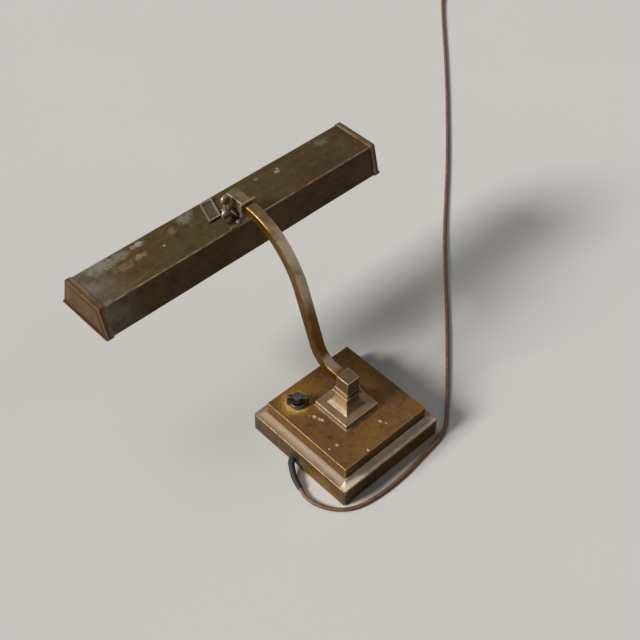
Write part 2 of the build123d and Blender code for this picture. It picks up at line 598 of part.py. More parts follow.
def make_knob():
    seat = base_h + KNOB_LIFT
    skirt = extrude(Circle(SKIRT_D / 2), amount=SKIRT_H)
    skirt = fillet(skirt.edges().group_by(Axis.Z)[-1], SKIRT_H / 3)
    flutes = each(PolarLocations(HUB_D / 2, KNOB_FLUTES), Circle(FLUTE_D / 2))
    hub = extrude(Circle(HUB_D / 2) - flutes, amount=KNOB_H)
    bar = extrude(RectangleRounded(BAR_L, BAR_W, BAR_END_R), amount=KNOB_H)
    bar -= extrude(Circle(HUB_D / 2), amount=KNOB_H)
    bar = fillet(bar.edges().group_by(Axis.Z)[-1].filter_by(GeomType.LINE), BAR_W / 6)
    knob = skirt + hub + bar
    recess = SWITCH_NUT_H - KNOB_LIFT + NUT_CLEAR
    knob -= extrude(Circle(SWITCH_NUT_D / 2 + NUT_CLEAR), amount=recess)
    knob -= extrude(Circle(SHAFT_D / 2), amount=recess + SHAFT_GRIP)
    shaft_z = base_h - SHAFT_DEPTH
    length = SHAFT_DEPTH + KNOB_LIFT + recess + SHAFT_GRIP
    shaft = at(knob_x, knob_y, shaft_z) * extrude(Circle(SHAFT_D / 2), amount=length)
    return at(knob_x, knob_y, seat) * Rot(0, 0, KNOB_TURN) * knob, shaft


# Cord: grommet and sleeve at the base, the lead on the desk, and the put-away coil with its tie and plug
lead_z = CORD_D / 2 + FLOOR_GAP
coil_z = CORD_D / 2 + TIE_T + TIE_GAP + FLOOR_GAP
SLEEVE_ROUTE = [
    (cavity - 1, EXIT_Y, EXIT_Z), (BASE_SIDE / 2 + 5.6, EXIT_Y, EXIT_Z - 0.2),
    (BASE_SIDE / 2 + 15, EXIT_Y + 15, 4.4), (BASE_SIDE / 2 + 19, EXIT_Y + 29, 3.1),
]
LEAD_ROUTE = [
    SLEEVE_ROUTE[-1], (91.4, 32, 2.32), (91.6, 41.6, lead_z), (89.2, 51.4, lead_z), (84, 62, lead_z),
    (76, 71.6, lead_z), (65, 79, lead_z), (48, 83.8, lead_z), (24, 86.2, lead_z), (-6, 85.6, lead_z),
    (-38, 81.6, lead_z), (-66, 78.8, lead_z), (-83.4, 71.6, lead_z), (-98, 59.8, lead_z),
    (-118, 42.8, lead_z), (-150, 14.2, lead_z), (-190, -22, lead_z), (-230, -59.2, lead_z),
    (-270, -97.4, lead_z), (-312, -136.4, lead_z), (-352, -170.6, lead_z), (-396, -207.8, lead_z),
    (-443.6, -249.2, lead_z), (-490, -291.4, lead_z), (-535, -332.4, lead_z), (-580.6, -375.2, lead_z),
    (-627, -419.4, lead_z), (-673.2, -464.2, lead_z), (-707, -496.4, lead_z), (-736, -523.4, coil_z),
    (-760, -545, coil_z),
]


def make_sleeve():
    path = route(SLEEVE_ROUTE, "sleeve")
    ends = [(0, SLEEVE_D), (1, SLEEVE_TIP_D)]
    rings = [Plane(origin=path @ t, z_dir=path % t) * Circle(d / 2) for t, d in ends]
    sleeve = sweep(rings, path=path, multisection=True)
    wall = Plane(origin=(cavity, EXIT_Y, EXIT_Z), z_dir=(1, 0, 0))
    bore = SLEEVE_D / 2 + SLEEVE_FIT
    grommet = extrude(wall * Circle(bore + GROMMET_WALL), amount=BASE_WALL)
    flange = extrude(at(BASE_WALL, 0, 0) * (wall * Circle(GROMMET_D / 2)), amount=GROMMET_T)
    flange = fillet(flange.edges().group_by(Axis.X)[-1], GROMMET_T / 3)
    grommet += flange
    grommet -= extrude(wall * Circle(bore), amount=BASE_WALL + GROMMET_T)
    return sleeve, grommet


def biarc(start, start_way, end, end_way):
    # Two tangent arcs from one point and direction to another.
    span = end - start
    both = start_way + end_way
    bend = 2 * (1 - start_way.dot(end_way))
    reach = span.dot(both)
    arm = (sqrt(reach ** 2 + bend * span.dot(span)) - reach) / bend
    middle = (start + end + (start_way - end_way) * arm) * 0.5
    first = Edge.make_tangent_arc(start, start_way, middle)
    return [first, Edge.make_tangent_arc(middle, first % 1, end)]


def coil_line():
    # The turns spiral in on the desk, climb one layer in the half turn where the spiral reverses,
    # and spiral out again on top. Quarter turns are counted from the middle of the climb.
    before = Vector(*LEAD_ROUTE[-2])
    last = Vector(*LEAD_ROUTE[-1])
    ahead = Vector(last.X - before.X, last.Y - before.Y, 0).normalized()
    outward = Vector(ahead.Y, -ahead.X, 0)
    begin = last + ahead * CORD_D
    hub = begin - outward * (COIL_R + COIL_PITCH * COIL_IN / 4)
    spots = []
    ways = []
    for quarter in range(-COIL_IN, COIL_OUT + 1):
        turn = (quarter + COIL_IN) * pi / 2
        out = outward * cos(turn) + ahead * sin(turn)
        along = ahead * cos(turn) - outward * sin(turn)
        sense = (quarter > 0) - (quarter < 0)
        radius = COIL_R + COIL_PITCH * abs(quarter) / 4
        climb = Vector(0, 0, 0 if sense else COIL_PITCH / 2)
        spots.append(hub + out * radius + Vector(0, 0, COIL_PITCH * (sense + 1) / 2))
        ways.append((along * radius + out * (sense * COIL_PITCH / 2 / pi) + climb).normalized())
    ways[0] = ahead
    edges = [Edge.make_line(last, begin)]
    for here, way, there, next_way in zip(spots, ways, spots[1:], ways[1:]):
        edges += biarc(here, way, there, next_way)
    level = Vector(ways[-1].X, ways[-1].Y, 0).normalized()
    finish = spots[-1] + level * COIL_TAIL
    edges.append(Edge.make_line(spots[-1], finish))
    return Wire(edges), hub, finish, level


def self_gap(path, diameter):
    # Least clear distance between stretches of the tube that are more than a quarter turn apart.
    count = 400
    points = [path @ (step / count) for step in range(count + 1)]
    apart = int(count * 0.5 * pi * COIL_R / path.length)
    pairs = ((i, j) for i in range(count + 1) for j in range(i + apart, count + 1))
    return min((points[i] - points[j]).length for i, j in pairs) - diameter


def make_coil():
    path, hub, finish, way = coil_line()
    coil = tube_along(path, CORD_D)
    print("coil length", round(path.length), "least gap", round(self_gap(path, CORD_D), 2))
    side = Vector(way.Y, -way.X, 0)
    thick = 2 * (finish.Z - FLOOR_GAP)
    back = Plane(origin=finish, x_dir=side, z_dir=way)
    waist = Plane(origin=finish + way * PLUG_TAPER, x_dir=side, z_dir=way)
    front = Plane(origin=finish + way * PLUG_L, x_dir=side, z_dir=way)
    plug = loft([
        back * RectangleRounded(PLUG_NECK, PLUG_NECK, PLUG_R / 2),
        waist * RectangleRounded(PLUG_W, thick, PLUG_R),
        front * RectangleRounded(PLUG_W, thick, PLUG_R),
    ], ruled=True)
    slots = [Pos(x, 0) for x in (-BLADE_PITCH / 2, BLADE_PITCH / 2)]
    blades = [extrude(front * (slot * Rectangle(BLADE_T, BLADE_W)), amount=BLADE_L) for slot in slots]
    return coil, plug, Compound(children=blades), hub


def make_tie(hub):
    # A flat band round all the turns, on the far side of the coil from where the lead comes in.
    last = Vector(*LEAD_ROUTE[-1])
    before = Vector(*LEAD_ROUTE[-2])
    ahead = Vector(last.X - before.X, last.Y - before.Y, 0).normalized()
    inward = Vector(-ahead.Y, ahead.X, 0)
    layers = COIL_PITCH + CORD_D
    span = COIL_PITCH * max(COIL_IN, COIL_OUT) / 4 + CORD_D
    middle = hub + inward * (COIL_R + span / 2 - CORD_D / 2) + Vector(0, 0, COIL_PITCH / 2)
    face = Plane(origin=middle, x_dir=inward, z_dir=ahead)
    inner = RectangleRounded(span + 2 * TIE_GAP, layers + 2 * TIE_GAP, CORD_D / 2)
    return extrude(face * (offset(inner, TIE_T) - inner), amount=TIE_W / 2, both=True)


base = make_base()
felt, bottom_plate, bottom_screws, weight = make_bottom()
column, fillets, block = make_column()
pipe, pipe_nut, pipe_washer = make_pipe()
arm, arm_wire = make_arm()
bolt, hinge_washer = make_bolt()
switch_body, switch_nut = make_switch()
knob, shaft = make_knob()
lamps = [make_lamp(side) for side in (-1, 1)]
sleeve, grommet = make_sleeve()
lead_line = route(LEAD_ROUTE, "lead")
lead = tube_along(lead_line, CORD_D)
coil, plug, blades, hub = make_coil()
fullness = lead.volume / (lead_line.length * pi * CORD_D ** 2 / 4)
print("lead length", round(lead_line.length), "volume over section times length", round(fullness, 4))

nodes = {
    "base_casting": base,
    "base_weight": weight,
    "bottom_plate": bottom_plate,
    "bottom_felt": felt,
    "bottom_screws": bottom_screws,
    "column_foot": column,
    "column_fillets": fillets,
    "arm_block": block,
    "column_pipe": pipe,
    "pipe_nut": pipe_nut,
    "pipe_washer": pipe_washer,
    "arm_tube": arm,
    "arm_wire": arm_wire,
    "arm_knuckle": make_knuckle(),
    "hinge_bolt": bolt,
    "hinge_washer": hinge_washer,
    "wing_nut": make_wing_nut(),
    "shade_trough": make_trough(),
    "shade_cap_left": make_cap(-1),
    "shade_cap_right": make_cap(1),
    "shade_saddle": make_saddle(),
    "saddle_rivets": make_rivets(),
    "socket_bracket": make_bracket(),
    "lamp_sockets": Compound(children=[lamp[0] for lamp in lamps]),
    "bulb_caps": Compound(children=[lamp[1] for lamp in lamps]),
    "bulb_glass": Compound(children=[lamp[2] for lamp in lamps]),
    "shade_wire": make_shade_wire(),
    "switch_body": switch_body,
    "switch_nut": switch_nut,
    "switch_knob": knob,
    "switch_shaft": shaft,
    "cord_grommet": grommet,
    "cord_sleeve": sleeve,
    "cord_lead": lead,
    "cord_coil": coil,
    "cord_tie": make_tie(hub),
    "plug_body": plug,
    "plug_blades": blades,
}
for node, shape in nodes.items():
    save(shape, node)
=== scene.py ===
import bmesh
import bpy
import numpy as np
from numpy import cos, pi, sin
from mathutils import Matrix


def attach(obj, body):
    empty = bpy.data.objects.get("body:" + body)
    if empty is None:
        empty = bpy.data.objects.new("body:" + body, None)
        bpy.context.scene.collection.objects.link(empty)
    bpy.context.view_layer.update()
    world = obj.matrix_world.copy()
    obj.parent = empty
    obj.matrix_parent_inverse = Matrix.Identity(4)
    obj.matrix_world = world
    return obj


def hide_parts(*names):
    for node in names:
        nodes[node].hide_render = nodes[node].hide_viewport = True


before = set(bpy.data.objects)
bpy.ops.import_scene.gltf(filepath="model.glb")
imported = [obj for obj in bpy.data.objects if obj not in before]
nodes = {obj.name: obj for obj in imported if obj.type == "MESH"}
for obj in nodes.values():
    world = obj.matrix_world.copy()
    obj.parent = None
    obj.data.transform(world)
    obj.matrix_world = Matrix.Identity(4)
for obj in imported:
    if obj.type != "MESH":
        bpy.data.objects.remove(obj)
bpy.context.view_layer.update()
scene = bpy.context.scene
mm = 0.001
mergeReach = 2e-6  # points closer than this, in metres, are one


class Sizes(dict):
    # a dictionary whose values are also read by name, as in b.top
    __getattr__ = dict.__getitem__


# camera: a bearing round the desk, a height angle and a small tip, in degrees
view = Sizes(
    bearing=135.37, height=46.99, tip=1.38, reach=1.32579, aim=(-0.09297, -0.13723, 0.0), lens=62.775, sensor=36.0,
    clip=(0.05, 30.0))


def facing(back, tip=0.0):
    # columns right, up and back: right is level, before the tip turns right and up about back
    back = np.array(back) / np.linalg.norm(back)
    right = np.cross([0, 0, 1], back)
    right /= np.linalg.norm(right)
    up = np.cross(back, right)
    t = np.radians(tip)
    return np.stack([cos(t) * right + sin(t) * up, cos(t) * up - sin(t) * right, back], 1)


def linked(name, data):
    made = bpy.data.objects.new(name, data)
    scene.collection.objects.link(made)
    return made


def setUp(name, data, axes, spot):
    place = np.eye(4)
    place[:3, :3], place[:3, 3] = axes, spot
    holder = linked(name, data)
    holder.matrix_world = Matrix(place.tolist())
    return holder


def makeCamera(v):
    # back points from the aim to the camera
    a, e = np.radians([v.bearing, v.height])
    axes = facing((sin(a) * cos(e), -cos(a) * cos(e), sin(e)), v.tip)
    data = bpy.data.cameras.new("deskCamera")
    data.lens, data.sensor_width = v.lens, v.sensor
    data.clip_start, data.clip_end = v.clip
    scene.camera = setUp("deskCamera", data, axes, v.aim + v.reach * axes[:, 2])


makeCamera(view)
print("camera set")


# meshes from grids of points
def gridFaces(rows, cols, wrapRows, first):
    # the quads between neighbouring rows and columns; columns join round, and rows where the grid wraps
    i, j = np.meshgrid(np.arange(rows - (not wrapRows)), np.arange(cols), indexing="ij")
    p, q = (i + 1) % rows, (j + 1) % cols
    return (np.stack([i * cols + j, i * cols + q, p * cols + q, p * cols + j], -1) + first).reshape(-1, 4)


def skin(points, wrapRows=False, startCap=False, endCap=False, **marks):
    # one grid of points in millimetres, with marks such as wear given for every point
    return dict(points=np.asarray(points, float), wrap=wrapRows, caps=(startCap, endCap), marks=marks)


def barSkin(points, **marks):
    return skin(points, False, True, True, **marks)


def pieceFrom(name, skins, body, node, smoothAngle=40):
    # all skins in one mesh: quads of each grid, one flat face on each capped end, marks as point attributes
    spots, quads, ends, marks, first = [], [], [], {"wear": [], "grime": [], "rub": []}, 0
    for s in skins:
        rows, cols = s["points"].shape[:2]
        spots.append(s["points"].reshape(-1, 3) * mm)
        quads.append(gridFaces(rows, cols, s["wrap"], first))
        ring = np.arange(cols) + first
        ends += [ring[::-1].tolist()] * s["caps"][0] + [(ring + (rows - 1) * cols).tolist()] * s["caps"][1]
        for key, kept in marks.items():
            kept.append(np.broadcast_to(s["marks"].get(key, 0.0), (rows, cols)).ravel())
        first += rows * cols
    mesh = bpy.data.meshes.new(name)
    mesh.from_pydata(np.concatenate(spots).tolist(), [], np.concatenate(quads).tolist() + ends)
    for key, kept in marks.items():
        layer = mesh.attributes.new(key, "FLOAT", "POINT")
        layer.data.foreach_set("value", np.concatenate(kept).astype(np.float32))
    shape = takeUp(mesh)
    bmesh.ops.dissolve_degenerate(shape, edges=shape.edges, dist=mergeReach / 2)
    bmesh.ops.recalc_face_normals(shape, faces=shape.faces)
    putBack(shape, mesh, smoothAngle)
    placePiece(name, mesh, body, node)


def takeUp(mesh):
    # the mesh ready to be worked on, with its doubles merged
    shape = bmesh.new()
    shape.from_mesh(mesh)
    bmesh.ops.remove_doubles(shape, verts=shape.verts, dist=mergeReach)
    return shape


def putBack(shape, mesh, angle):
    # the worked shape back in its mesh, shaded smooth up to an angle in degrees
    shape.to_mesh(mesh)
    shape.free()
    mesh.polygons.foreach_set("use_smooth", np.full(len(mesh.polygons), True))
    mesh.set_sharp_from_angle(angle=np.radians(angle))
    mesh.update()


def placePiece(name, mesh, body, node):
    piece = linked(name, mesh)
    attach(piece, body)
    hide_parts(node)
    return piece


# soft edges: angles in degrees, under which faces are one flat, past which an edge is rounded or shaded sharp
softEdge = Sizes(flat=1.0, rounded=30, sharp=40, segments=3)


def softCopy(name, node, body, edge, shortest=0.0, limit=1.0):
    # the solid of a node with its doubles merged and its flats joined; a bevel rounds its sharp edges, apart from
    # those under the shortest length and those past a limit along Y, which are hidden in the arm
    mesh = nodes[node].data.copy()
    mesh.materials.clear()
    shape = takeUp(mesh)
    bmesh.ops.dissolve_limit(shape, angle_limit=np.radians(softEdge.flat), verts=shape.verts, edges=shape.edges)
    chosen = [e.calc_face_angle(0) > np.radians(softEdge.rounded) and e.calc_length() > shortest * mm
              and max(v.co.y for v in e.verts) < limit for e in shape.edges]
    putBack(shape, mesh, softEdge.sharp)
    weights = mesh.attributes.new("bevel_weight_edge", "FLOAT", "EDGE")
    weights.data.foreach_set("value", np.array(chosen, np.float32))
    bevel = placePiece(name, mesh, body, node).modifiers.new("softEdges", "BEVEL")
    bevel.width, bevel.segments, bevel.limit_method = edge * mm, softEdge.segments, "WEIGHT"
    bevel.use_clamp_overlap, bevel.harden_normals = shortest == 0, True
    bevel.material = 1  # the rounded edges take the piece's second finish


# outlines: every corner of a polyline becomes an arc of equal turns between tangent points
def roundOutline(corners, radii, closed=False, steps=5, hold=0.5, holdShare=0.45, markRun=(0.12, 0.88)):
    # a point is kept close beside each arc, so that the flats stay flat; corners that turn left are marked as worn,
    # the others as grimy, by a sine that is strongest at the middle of the arc
    p = np.asarray(corners, float)
    run = np.roll(p, -1, 0) - p
    length = np.linalg.norm(run, axis=1)
    run = run / length[:, None]
    before = np.roll(run, 1, 0)
    turns = np.arctan2(before[:, 0] * run[:, 1] - before[:, 1] * run[:, 0], (before * run).sum(1))
    radii = np.broadcast_to(radii, len(p)).astype(float)
    if not closed:
        radii[[0, -1]] = 0
    cuts = np.abs(radii * np.tan(turns / 2))
    room = np.clip(holdShare * (length - cuts - np.roll(cuts, -1)), 0, hold)  # to the kept point on each flat
    strong = np.r_[0.0, sin(pi * np.linspace(*markRun, steps + 1)), 0.0]
    out, wear, grime = [], [], []
    for k, (b, r, turn, cut) in enumerate(zip(p, radii, turns, cuts)):
        spots, mark = b[None], np.zeros(1)
        if r > 0:
            din, dout = before[k], run[k]
            angles = np.linspace(0, turn, steps + 1)
            side = np.array([-din[1], din[0]]) * np.sign(turn)
            arc = r * (sin(abs(angles))[:, None] * din - cos(angles)[:, None] * side)
            arc = b - din * cut + side * r + arc
            spots = np.vstack([b - din * (cut + room[k - 1]), arc, b + dout * (cut + room[k])])
            mark = strong
        out.append(spots)
        wear.append(mark * (turn > 0))
        grime.append(mark * (turn < 0))
    return np.vstack(out), np.concatenate(wear), np.concatenate(grime)


# square grid: points along each side out to a share of its half, two more beside the corner, and the corner's turn
squareGrid = Sizes(sideSteps=14, sideRun=0.93, beside=0.985, besideWear=0.12, endWear=0.9, cornerSteps=5, fullest=0.9)


def squareRound(outline, wear, grime, corner):
    # the outline's distance from the axis carried round a square: on a side the point slides along,
    # at a corner it turns about a centre drawn in by the corner radius
    g = squareGrid
    s, z = outline.T
    slide = np.r_[-1, -g.beside, np.linspace(-g.sideRun, g.sideRun, g.sideSteps), g.beside, 1]
    turn = np.linspace(0, pi / 2, g.cornerSteps + 1)[1:-1]
    q = np.vstack([np.c_[np.ones_like(slide), slide], np.ones((len(turn), 2))])
    n = np.vstack([np.tile([1.0, 0.0], (len(slide), 1)), np.c_[cos(turn), sin(turn)]])
    ends = np.array([g.endWear, g.besideWear])
    edge = np.tile(np.r_[ends, np.zeros(g.sideSteps), ends[::-1], np.ones(len(turn))], 4)
    quarter = [np.array([[cos(a), -sin(a)], [sin(a), cos(a)]]) for a in np.arange(4) * pi / 2]
    q, n = (np.vstack([side @ m.T for m in quarter]) for side in (q, n))
    r = np.minimum(corner, g.fullest * s)[:, None, None]
    xy = (s[:, None, None] - r) * q[None] + r * n[None]
    points = np.concatenate([xy, np.broadcast_to(z[:, None, None], xy.shape[:2] + (1,))], -1)
    step = np.diff(outline, axis=0)
    steep = np.abs(step[:, 1]) / np.maximum(np.hypot(*step.T), 1e-9)
    steep = np.minimum(np.r_[steep[0], steep], np.r_[steep, steep[-1]])  # corners wear on upright faces only
    worn = np.maximum(wear[:, None], edge[None] * steep[:, None])
    return points, worn, grime[:, None]


def barLoop(width, height, radius):
    # a rounded rectangle as one closed loop, corners marked as worn
    w, h = width / 2, height / 2
    return roundOutline([(-w, -h), (w, -h), (w, h), (-w, h)], radius, True)[:2]


def lathe(outline, turns, axis="z", at=(0, 0, 0)):
    # the outline's radius turned once round the axis
    a = np.linspace(0, 2 * pi, turns, endpoint=False)
    r, h = outline[:, 0][:, None], np.broadcast_to(outline[:, 1][:, None], (len(outline), turns))
    c, s = r * cos(a), r * sin(a)
    return np.stack((c, s, h) if axis == "z" else (h, c, s), -1) + np.asarray(at, float)


# cord: the same points as the solid, then the turns of the coil, as one smooth line
cordRuns = [
    (91.6, 41.6), (89.2, 51.4), (84, 62), (76, 71.6), (65, 79), (48, 83.8), (24, 86.2), (-6, 85.6), (-38, 81.6),
    (-66, 78.8), (-83.4, 71.6), (-98, 59.8), (-118, 42.8), (-150, 14.2), (-190, -22), (-230, -59.2), (-270, -97.4),
    (-312, -136.4), (-352, -170.6), (-396, -207.8), (-443.6, -249.2), (-490, -291.4), (-535, -332.4), (-580.6, -375.2),
    (-627, -419.4), (-673.2, -464.2), (-707, -496.4)]
cordRoute = [
    (89, 23.6, 3.1), (91.4, 32, 2.32), *[(x, y, 2.2) for x, y in cordRuns], (-736, -523.4, 3.6), (-760, -545, 3.6)]
cordLook = Sizes(
    thick=4.2, turnStep=5.0, inner=18.9, quartersIn=9, quartersOut=8, tail=24.0, perTurn=24, length=1.8, lineSteps=6,
    roundSteps=5)


def coilPoints(route, c):
    # quarters counted from the middle of the climb: radius grows by a quarter of the step for each,
    # height climbs one step as a sine over the half turn where the spiral reverses
    last, before = np.array(route[-1], float), np.array(route[-2], float)
    ahead = (last - before) / np.linalg.norm(last - before)
    side = np.array([ahead[1], -ahead[0], 0])
    begin = last + ahead * c.thick
    hub = begin - side * (c.inner + c.turnStep * c.quartersIn / 4)
    count = int((c.quartersIn + c.quartersOut) * c.perTurn / 4) + 1
    quarters = np.linspace(-c.quartersIn, c.quartersOut, count)
    shrink = cos(pi / c.perTurn)  # a smooth line runs inside its points by this much
    radius = (c.inner + c.turnStep * np.abs(quarters) / 4) / shrink
    turn = (quarters + c.quartersIn) * pi / 2
    climb = c.turnStep * (1 + sin(np.clip(quarters, -1, 1) * pi / 2)) / 2
    ring = hub + radius[:, None] * (cos(turn)[:, None] * side + sin(turn)[:, None] * ahead)
    ring[:, 2] += climb
    along = cos(turn[-1]) * ahead - sin(turn[-1]) * side
    return np.vstack([begin, ring[1:], ring[-1] + along * c.tail])


def makeCord(route, c):
    line = np.vstack([np.array(route, float), coilPoints(route, c)]) * mm
    curve = bpy.data.curves.new("cord", "CURVE")
    curve.dimensions = "3D"
    spline = curve.splines.new("NURBS")
    spline.points.add(len(line) - 1)
    spline.points.foreach_set("co", np.c_[line, np.ones(len(line))].ravel())
    spline.order_u, spline.use_endpoint_u, spline.resolution_u = 3, True, c.lineSteps
    # half the thickness is the points' radius, because the bound box grows by that radius
    spline.points.foreach_set("radius", np.full(len(line), c.thick / 2 * mm))
    curve.bevel_depth, curve.bevel_resolution, curve.use_fill_caps = 1.0, c.roundSteps, True
    cord = linked("cord", curve)
    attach(cord, "stand")
    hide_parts("cord_lead", "cord_coil")


makeCord(cordRoute, cordLook)
print("cord laid")


# base: two blocks with a hollow moulding and a thin fillet between them
baseShape = Sizes(
    block=70.0, blockTop=24.2, ledge=67.0, coveIn=61.1, coveTop=27.6, fillet=61.1, filletTop=29.2, step=59.5, top=43.0,
    middle=30.0, foot=0.6, wall=66.0, wallTop=18.0, hollow=0.9, corner=2.5, upperCorner=0.9,
    lowRounds=(0, 0.4, 0.8, 0.9, 0.25), highRounds=(0.2, 0.45, 0.3, 0.7, 0, 0), grime=0.9, margin=0.05, ledgeRound=0.4)


def hollowLine(p, q, depth, count=6):
    # points between two ends that sag towards the axis by a parabola as deep as given
    p, q = np.array(p, float), np.array(q, float)
    t = np.linspace(0, 1, count + 2)[1:-1, None]
    along = (q - p) / np.linalg.norm(q - p)
    inward = np.array([-along[1], along[0]])
    inward *= -1 if inward[0] > 0 else 1
    return p + (q - p) * t + inward * depth * (1 - (2 * t - 1) ** 2)


def makeBase(b):
    # one outline, from the inner wall round the foot and up to the middle of the top, carried round a square
    cove = hollowLine((b.ledge, b.blockTop), (b.coveIn, b.coveTop), b.hollow)
    corners = [(b.wall, b.wallTop), (b.wall, b.foot), (b.block, b.foot), (b.block, b.blockTop),
               (b.ledge, b.blockTop), *cove, (b.coveIn, b.coveTop), (b.fillet, b.filletTop),
               (b.step, b.filletTop), (b.step, b.top), (b.middle, b.top), (0, b.top)]
    outline, wear, grime = roundOutline(corners, [*b.lowRounds, *[0] * len(cove), *b.highRounds])
    out, height = outline.T
    rubbed = (height > b.blockTop - b.margin) & (height < b.filletTop + b.margin)
    corner = np.where(out > b.ledge + b.ledgeRound, b.corner, b.upperCorner)
    points, wear, grime = squareRound(outline, wear, b.grime * grime, corner)
    pieceFrom("baseBlock", [skin(points, startCap=True, wear=wear, grime=grime, rub=rubbed[:, None])],
              "stand", "base_casting")


columnShape = Sizes(
    plate=23.65, plateTop=49.0, shaftFoot=15.0, neck=9.3, neckTop=67.4, hollow=2.6, hollowSteps=12, ringOut=11.35,
    ringTop=69.8, collar=8.8, collarTop=72.2, upperOut=9.75, upperTop=74.6, block=8.6, blockTop=91.2)


def stairs(widths, heights):
    # the corners of steps that go from width to width on each height in turn
    return [(width, height) for run, height in zip(zip(widths, widths[1:]), heights) for width in run]


def makeColumn(c, base):
    # three outlines, each from the axis out and back to it, carried round a square
    shaft = hollowLine((c.shaftFoot, c.plateTop), (c.neck, c.neckTop), c.hollow, c.hollowSteps)
    foot = stairs((0, c.plate, c.shaftFoot), (base, c.plateTop)) + [*shaft, (c.neck, c.neckTop), (0, c.neckTop)]
    fillets = stairs((0, c.ringOut, c.collar, c.upperOut, 0), (c.neckTop, c.ringTop, c.collarTop, c.upperTop))
    block = stairs((0, c.block, 0), (c.upperTop, c.blockTop))
    for name, node, corners, radii, corner in (
            ("columnFoot", "column_foot", foot, [0, 0.3, 0.7, 0.5, *[0] * len(shaft), 0.3, 0], 0.7),
            ("columnFillets", "column_fillets", fillets, [0, 0.45, 0.45, 0.2, 0.2, 0.4, 0.45, 0], 0.6),
            ("armBlock", "arm_block", block, [0, 0.3, 0.8, 0], 0.8)):
        points, wear, grime = squareRound(*roundOutline(corners, radii), corner)
        pieceFrom(name, [skin(points, wear=wear, grime=grime)], "stand", node)


# arm: runs are straights of some length, or arcs of some radius and turn in degrees
armShape = Sizes(
    # the share of silver along the arm's upper side is partly rubbing and partly a painted highlight
    start=(-5.6, 82.9), across=12.5, deep=11.0, corner=1.7, edgeWear=0.6, rubSide=0.49,
    rubAt=(0.02, 0.06, 0.13, 0.17, 0.4, 0.52, 0.76, 0.9, 1.0), rub=(0, 0.5, 0.6, 0, 0.1, 0.9, 0.85, 0.22, 0.1),
    runs=[(12.8, 0), (30.0, -68.8), (65.6, 0), (107.0, 33.3), (69.6, 35.5)])


def bentLine(start, runs, step=1.6):
    # points along the runs in one upright plane; headings add up, and an arc moves by the change of their sines
    spots, headings = [np.array([start])], [np.array([pi])]
    for size, turn in runs:
        a, h = np.radians(turn), headings[-1][-1]
        length = size if turn == 0 else size * abs(a)
        t = np.linspace(0, 1, max(4, int(length / step)) + 1)[1:]
        heads = h + a * t
        if turn == 0:
            moved = np.c_[cos(h) * size * t, sin(h) * size * t]
        else:
            moved = size * np.sign(a) * np.c_[sin(heads) - sin(h), cos(h) - cos(heads)]
        spots.append(spots[-1][-1] + moved)
        headings.append(heads)
    return np.vstack(spots), np.concatenate(headings)


def makeArm(a):
    # a rounded rectangle carried along the bent line, its upper side towards the outside of the bends
    line, heads = bentLine(a.start, a.runs)
    loop, wear = barLoop(a.across, a.deep, a.corner)
    out = np.c_[sin(heads), -cos(heads)]
    points = np.zeros((len(line), len(loop), 3))
    points[..., 0] = loop[:, 0]
    points[..., 1:] = line[:, None] + loop[:, 1][None, :, None] * out[:, None]
    # silver on the upper side, partly rubbing and partly a painted highlight
    rub = np.interp(np.linspace(0, 1, len(line)), a.rubAt, a.rub)[:, None] * (loop[:, 1] > a.rubSide * a.deep)[None]
    pieceFrom("armTube", [barSkin(points, wear=a.edgeWear * wear[None], rub=rub)], "stand", "arm_tube")


makeBase(baseShape)
makeColumn(columnShape, baseShape.top)
makeArm(armShape)
print("base, column and arm made")

# shade: a folded sheet with a hem along its mouth, and two pressed end caps
shadeShape = Sizes(
    middle=-179.93, top=203.57, half=184.5, topHalf=27.0, mouthHalf=36.2, deep=34.6, sheet=1.0, hem=4.0,
    rounds=(0.4, 0.2, 0.3, 0.7, 0.8, 1.4), stations=140, wave=0.1, waveFade=20.0, longWave=(23, 11),
    shortWave=(11.3, 17, 9), shortShare=0.7, band=6.0, capSheet=1.0, capBend=2.3, panelMargin=4.0, panelRise=0.8,
    lip=2.4, lipThick=1.1, lipBack=0.2)


def halfWidth(s, height, inset):
    # half the shade's width at a height below its top, drawn in from the outer face by inset
    flare = (s.mouthHalf - s.topHalf) / s.deep
    return s.topHalf - height * flare - inset * np.hypot(1, flare)


def makeTrough(s):
    # the sheet's section carried along the shade; a ripple of two sines, which dies out at the ends,
    # moves the top up and down and the sides in and out
    deep, t, hem = -s.deep, s.sheet, -s.deep + s.hem
    right = [(halfWidth(s, -t, t), -t), (halfWidth(s, hem, t), hem), (halfWidth(s, hem, 2 * t), hem),
             (halfWidth(s, deep, 2 * t), deep), (s.mouthHalf, deep), (s.topHalf, 0)]
    loop, wear, _ = roundOutline(right + [(-y, z) for y, z in right[::-1]], s.rounds + s.rounds[::-1], True)
    x = np.linspace(-s.half, s.half, s.stations)[:, None]
    y, z = loop.T[:, None]
    fade = np.minimum(1, (s.half - np.abs(x)) / s.waveFade)
    (a, b), (c, d, e) = s.longWave, s.shortWave
    ripple = s.wave * fade * (sin(x / a + y / b) + s.shortShare * sin(x / c - y / d + z / e))
    low = np.clip(-z / s.deep, 0, 1)
    points = np.stack([np.broadcast_to(x, ripple.shape), s.middle + y + ripple * low * np.sign(y),
                       s.top + z + ripple * (1 - low)], -1)
    pieceFrom("shadeTrough", [barSkin(points, wear=wear[None])], "shade", "shade_trough")


def capRing(s, x, inset, lift, top, bottom):
    # the shade's outline drawn in by inset, raised at the mouth by lift, at a distance x along the shade
    zTop, zLow = -inset, -s.deep + lift
    right = [(halfWidth(s, zLow, inset), zLow), (halfWidth(s, zTop, inset), zTop)]
    loop = roundOutline(right + [(-y, z) for y, z in right[::-1]], [bottom, top, top, bottom], True, 5, 0.2)[0]
    return np.c_[np.full(len(loop), x), loop]


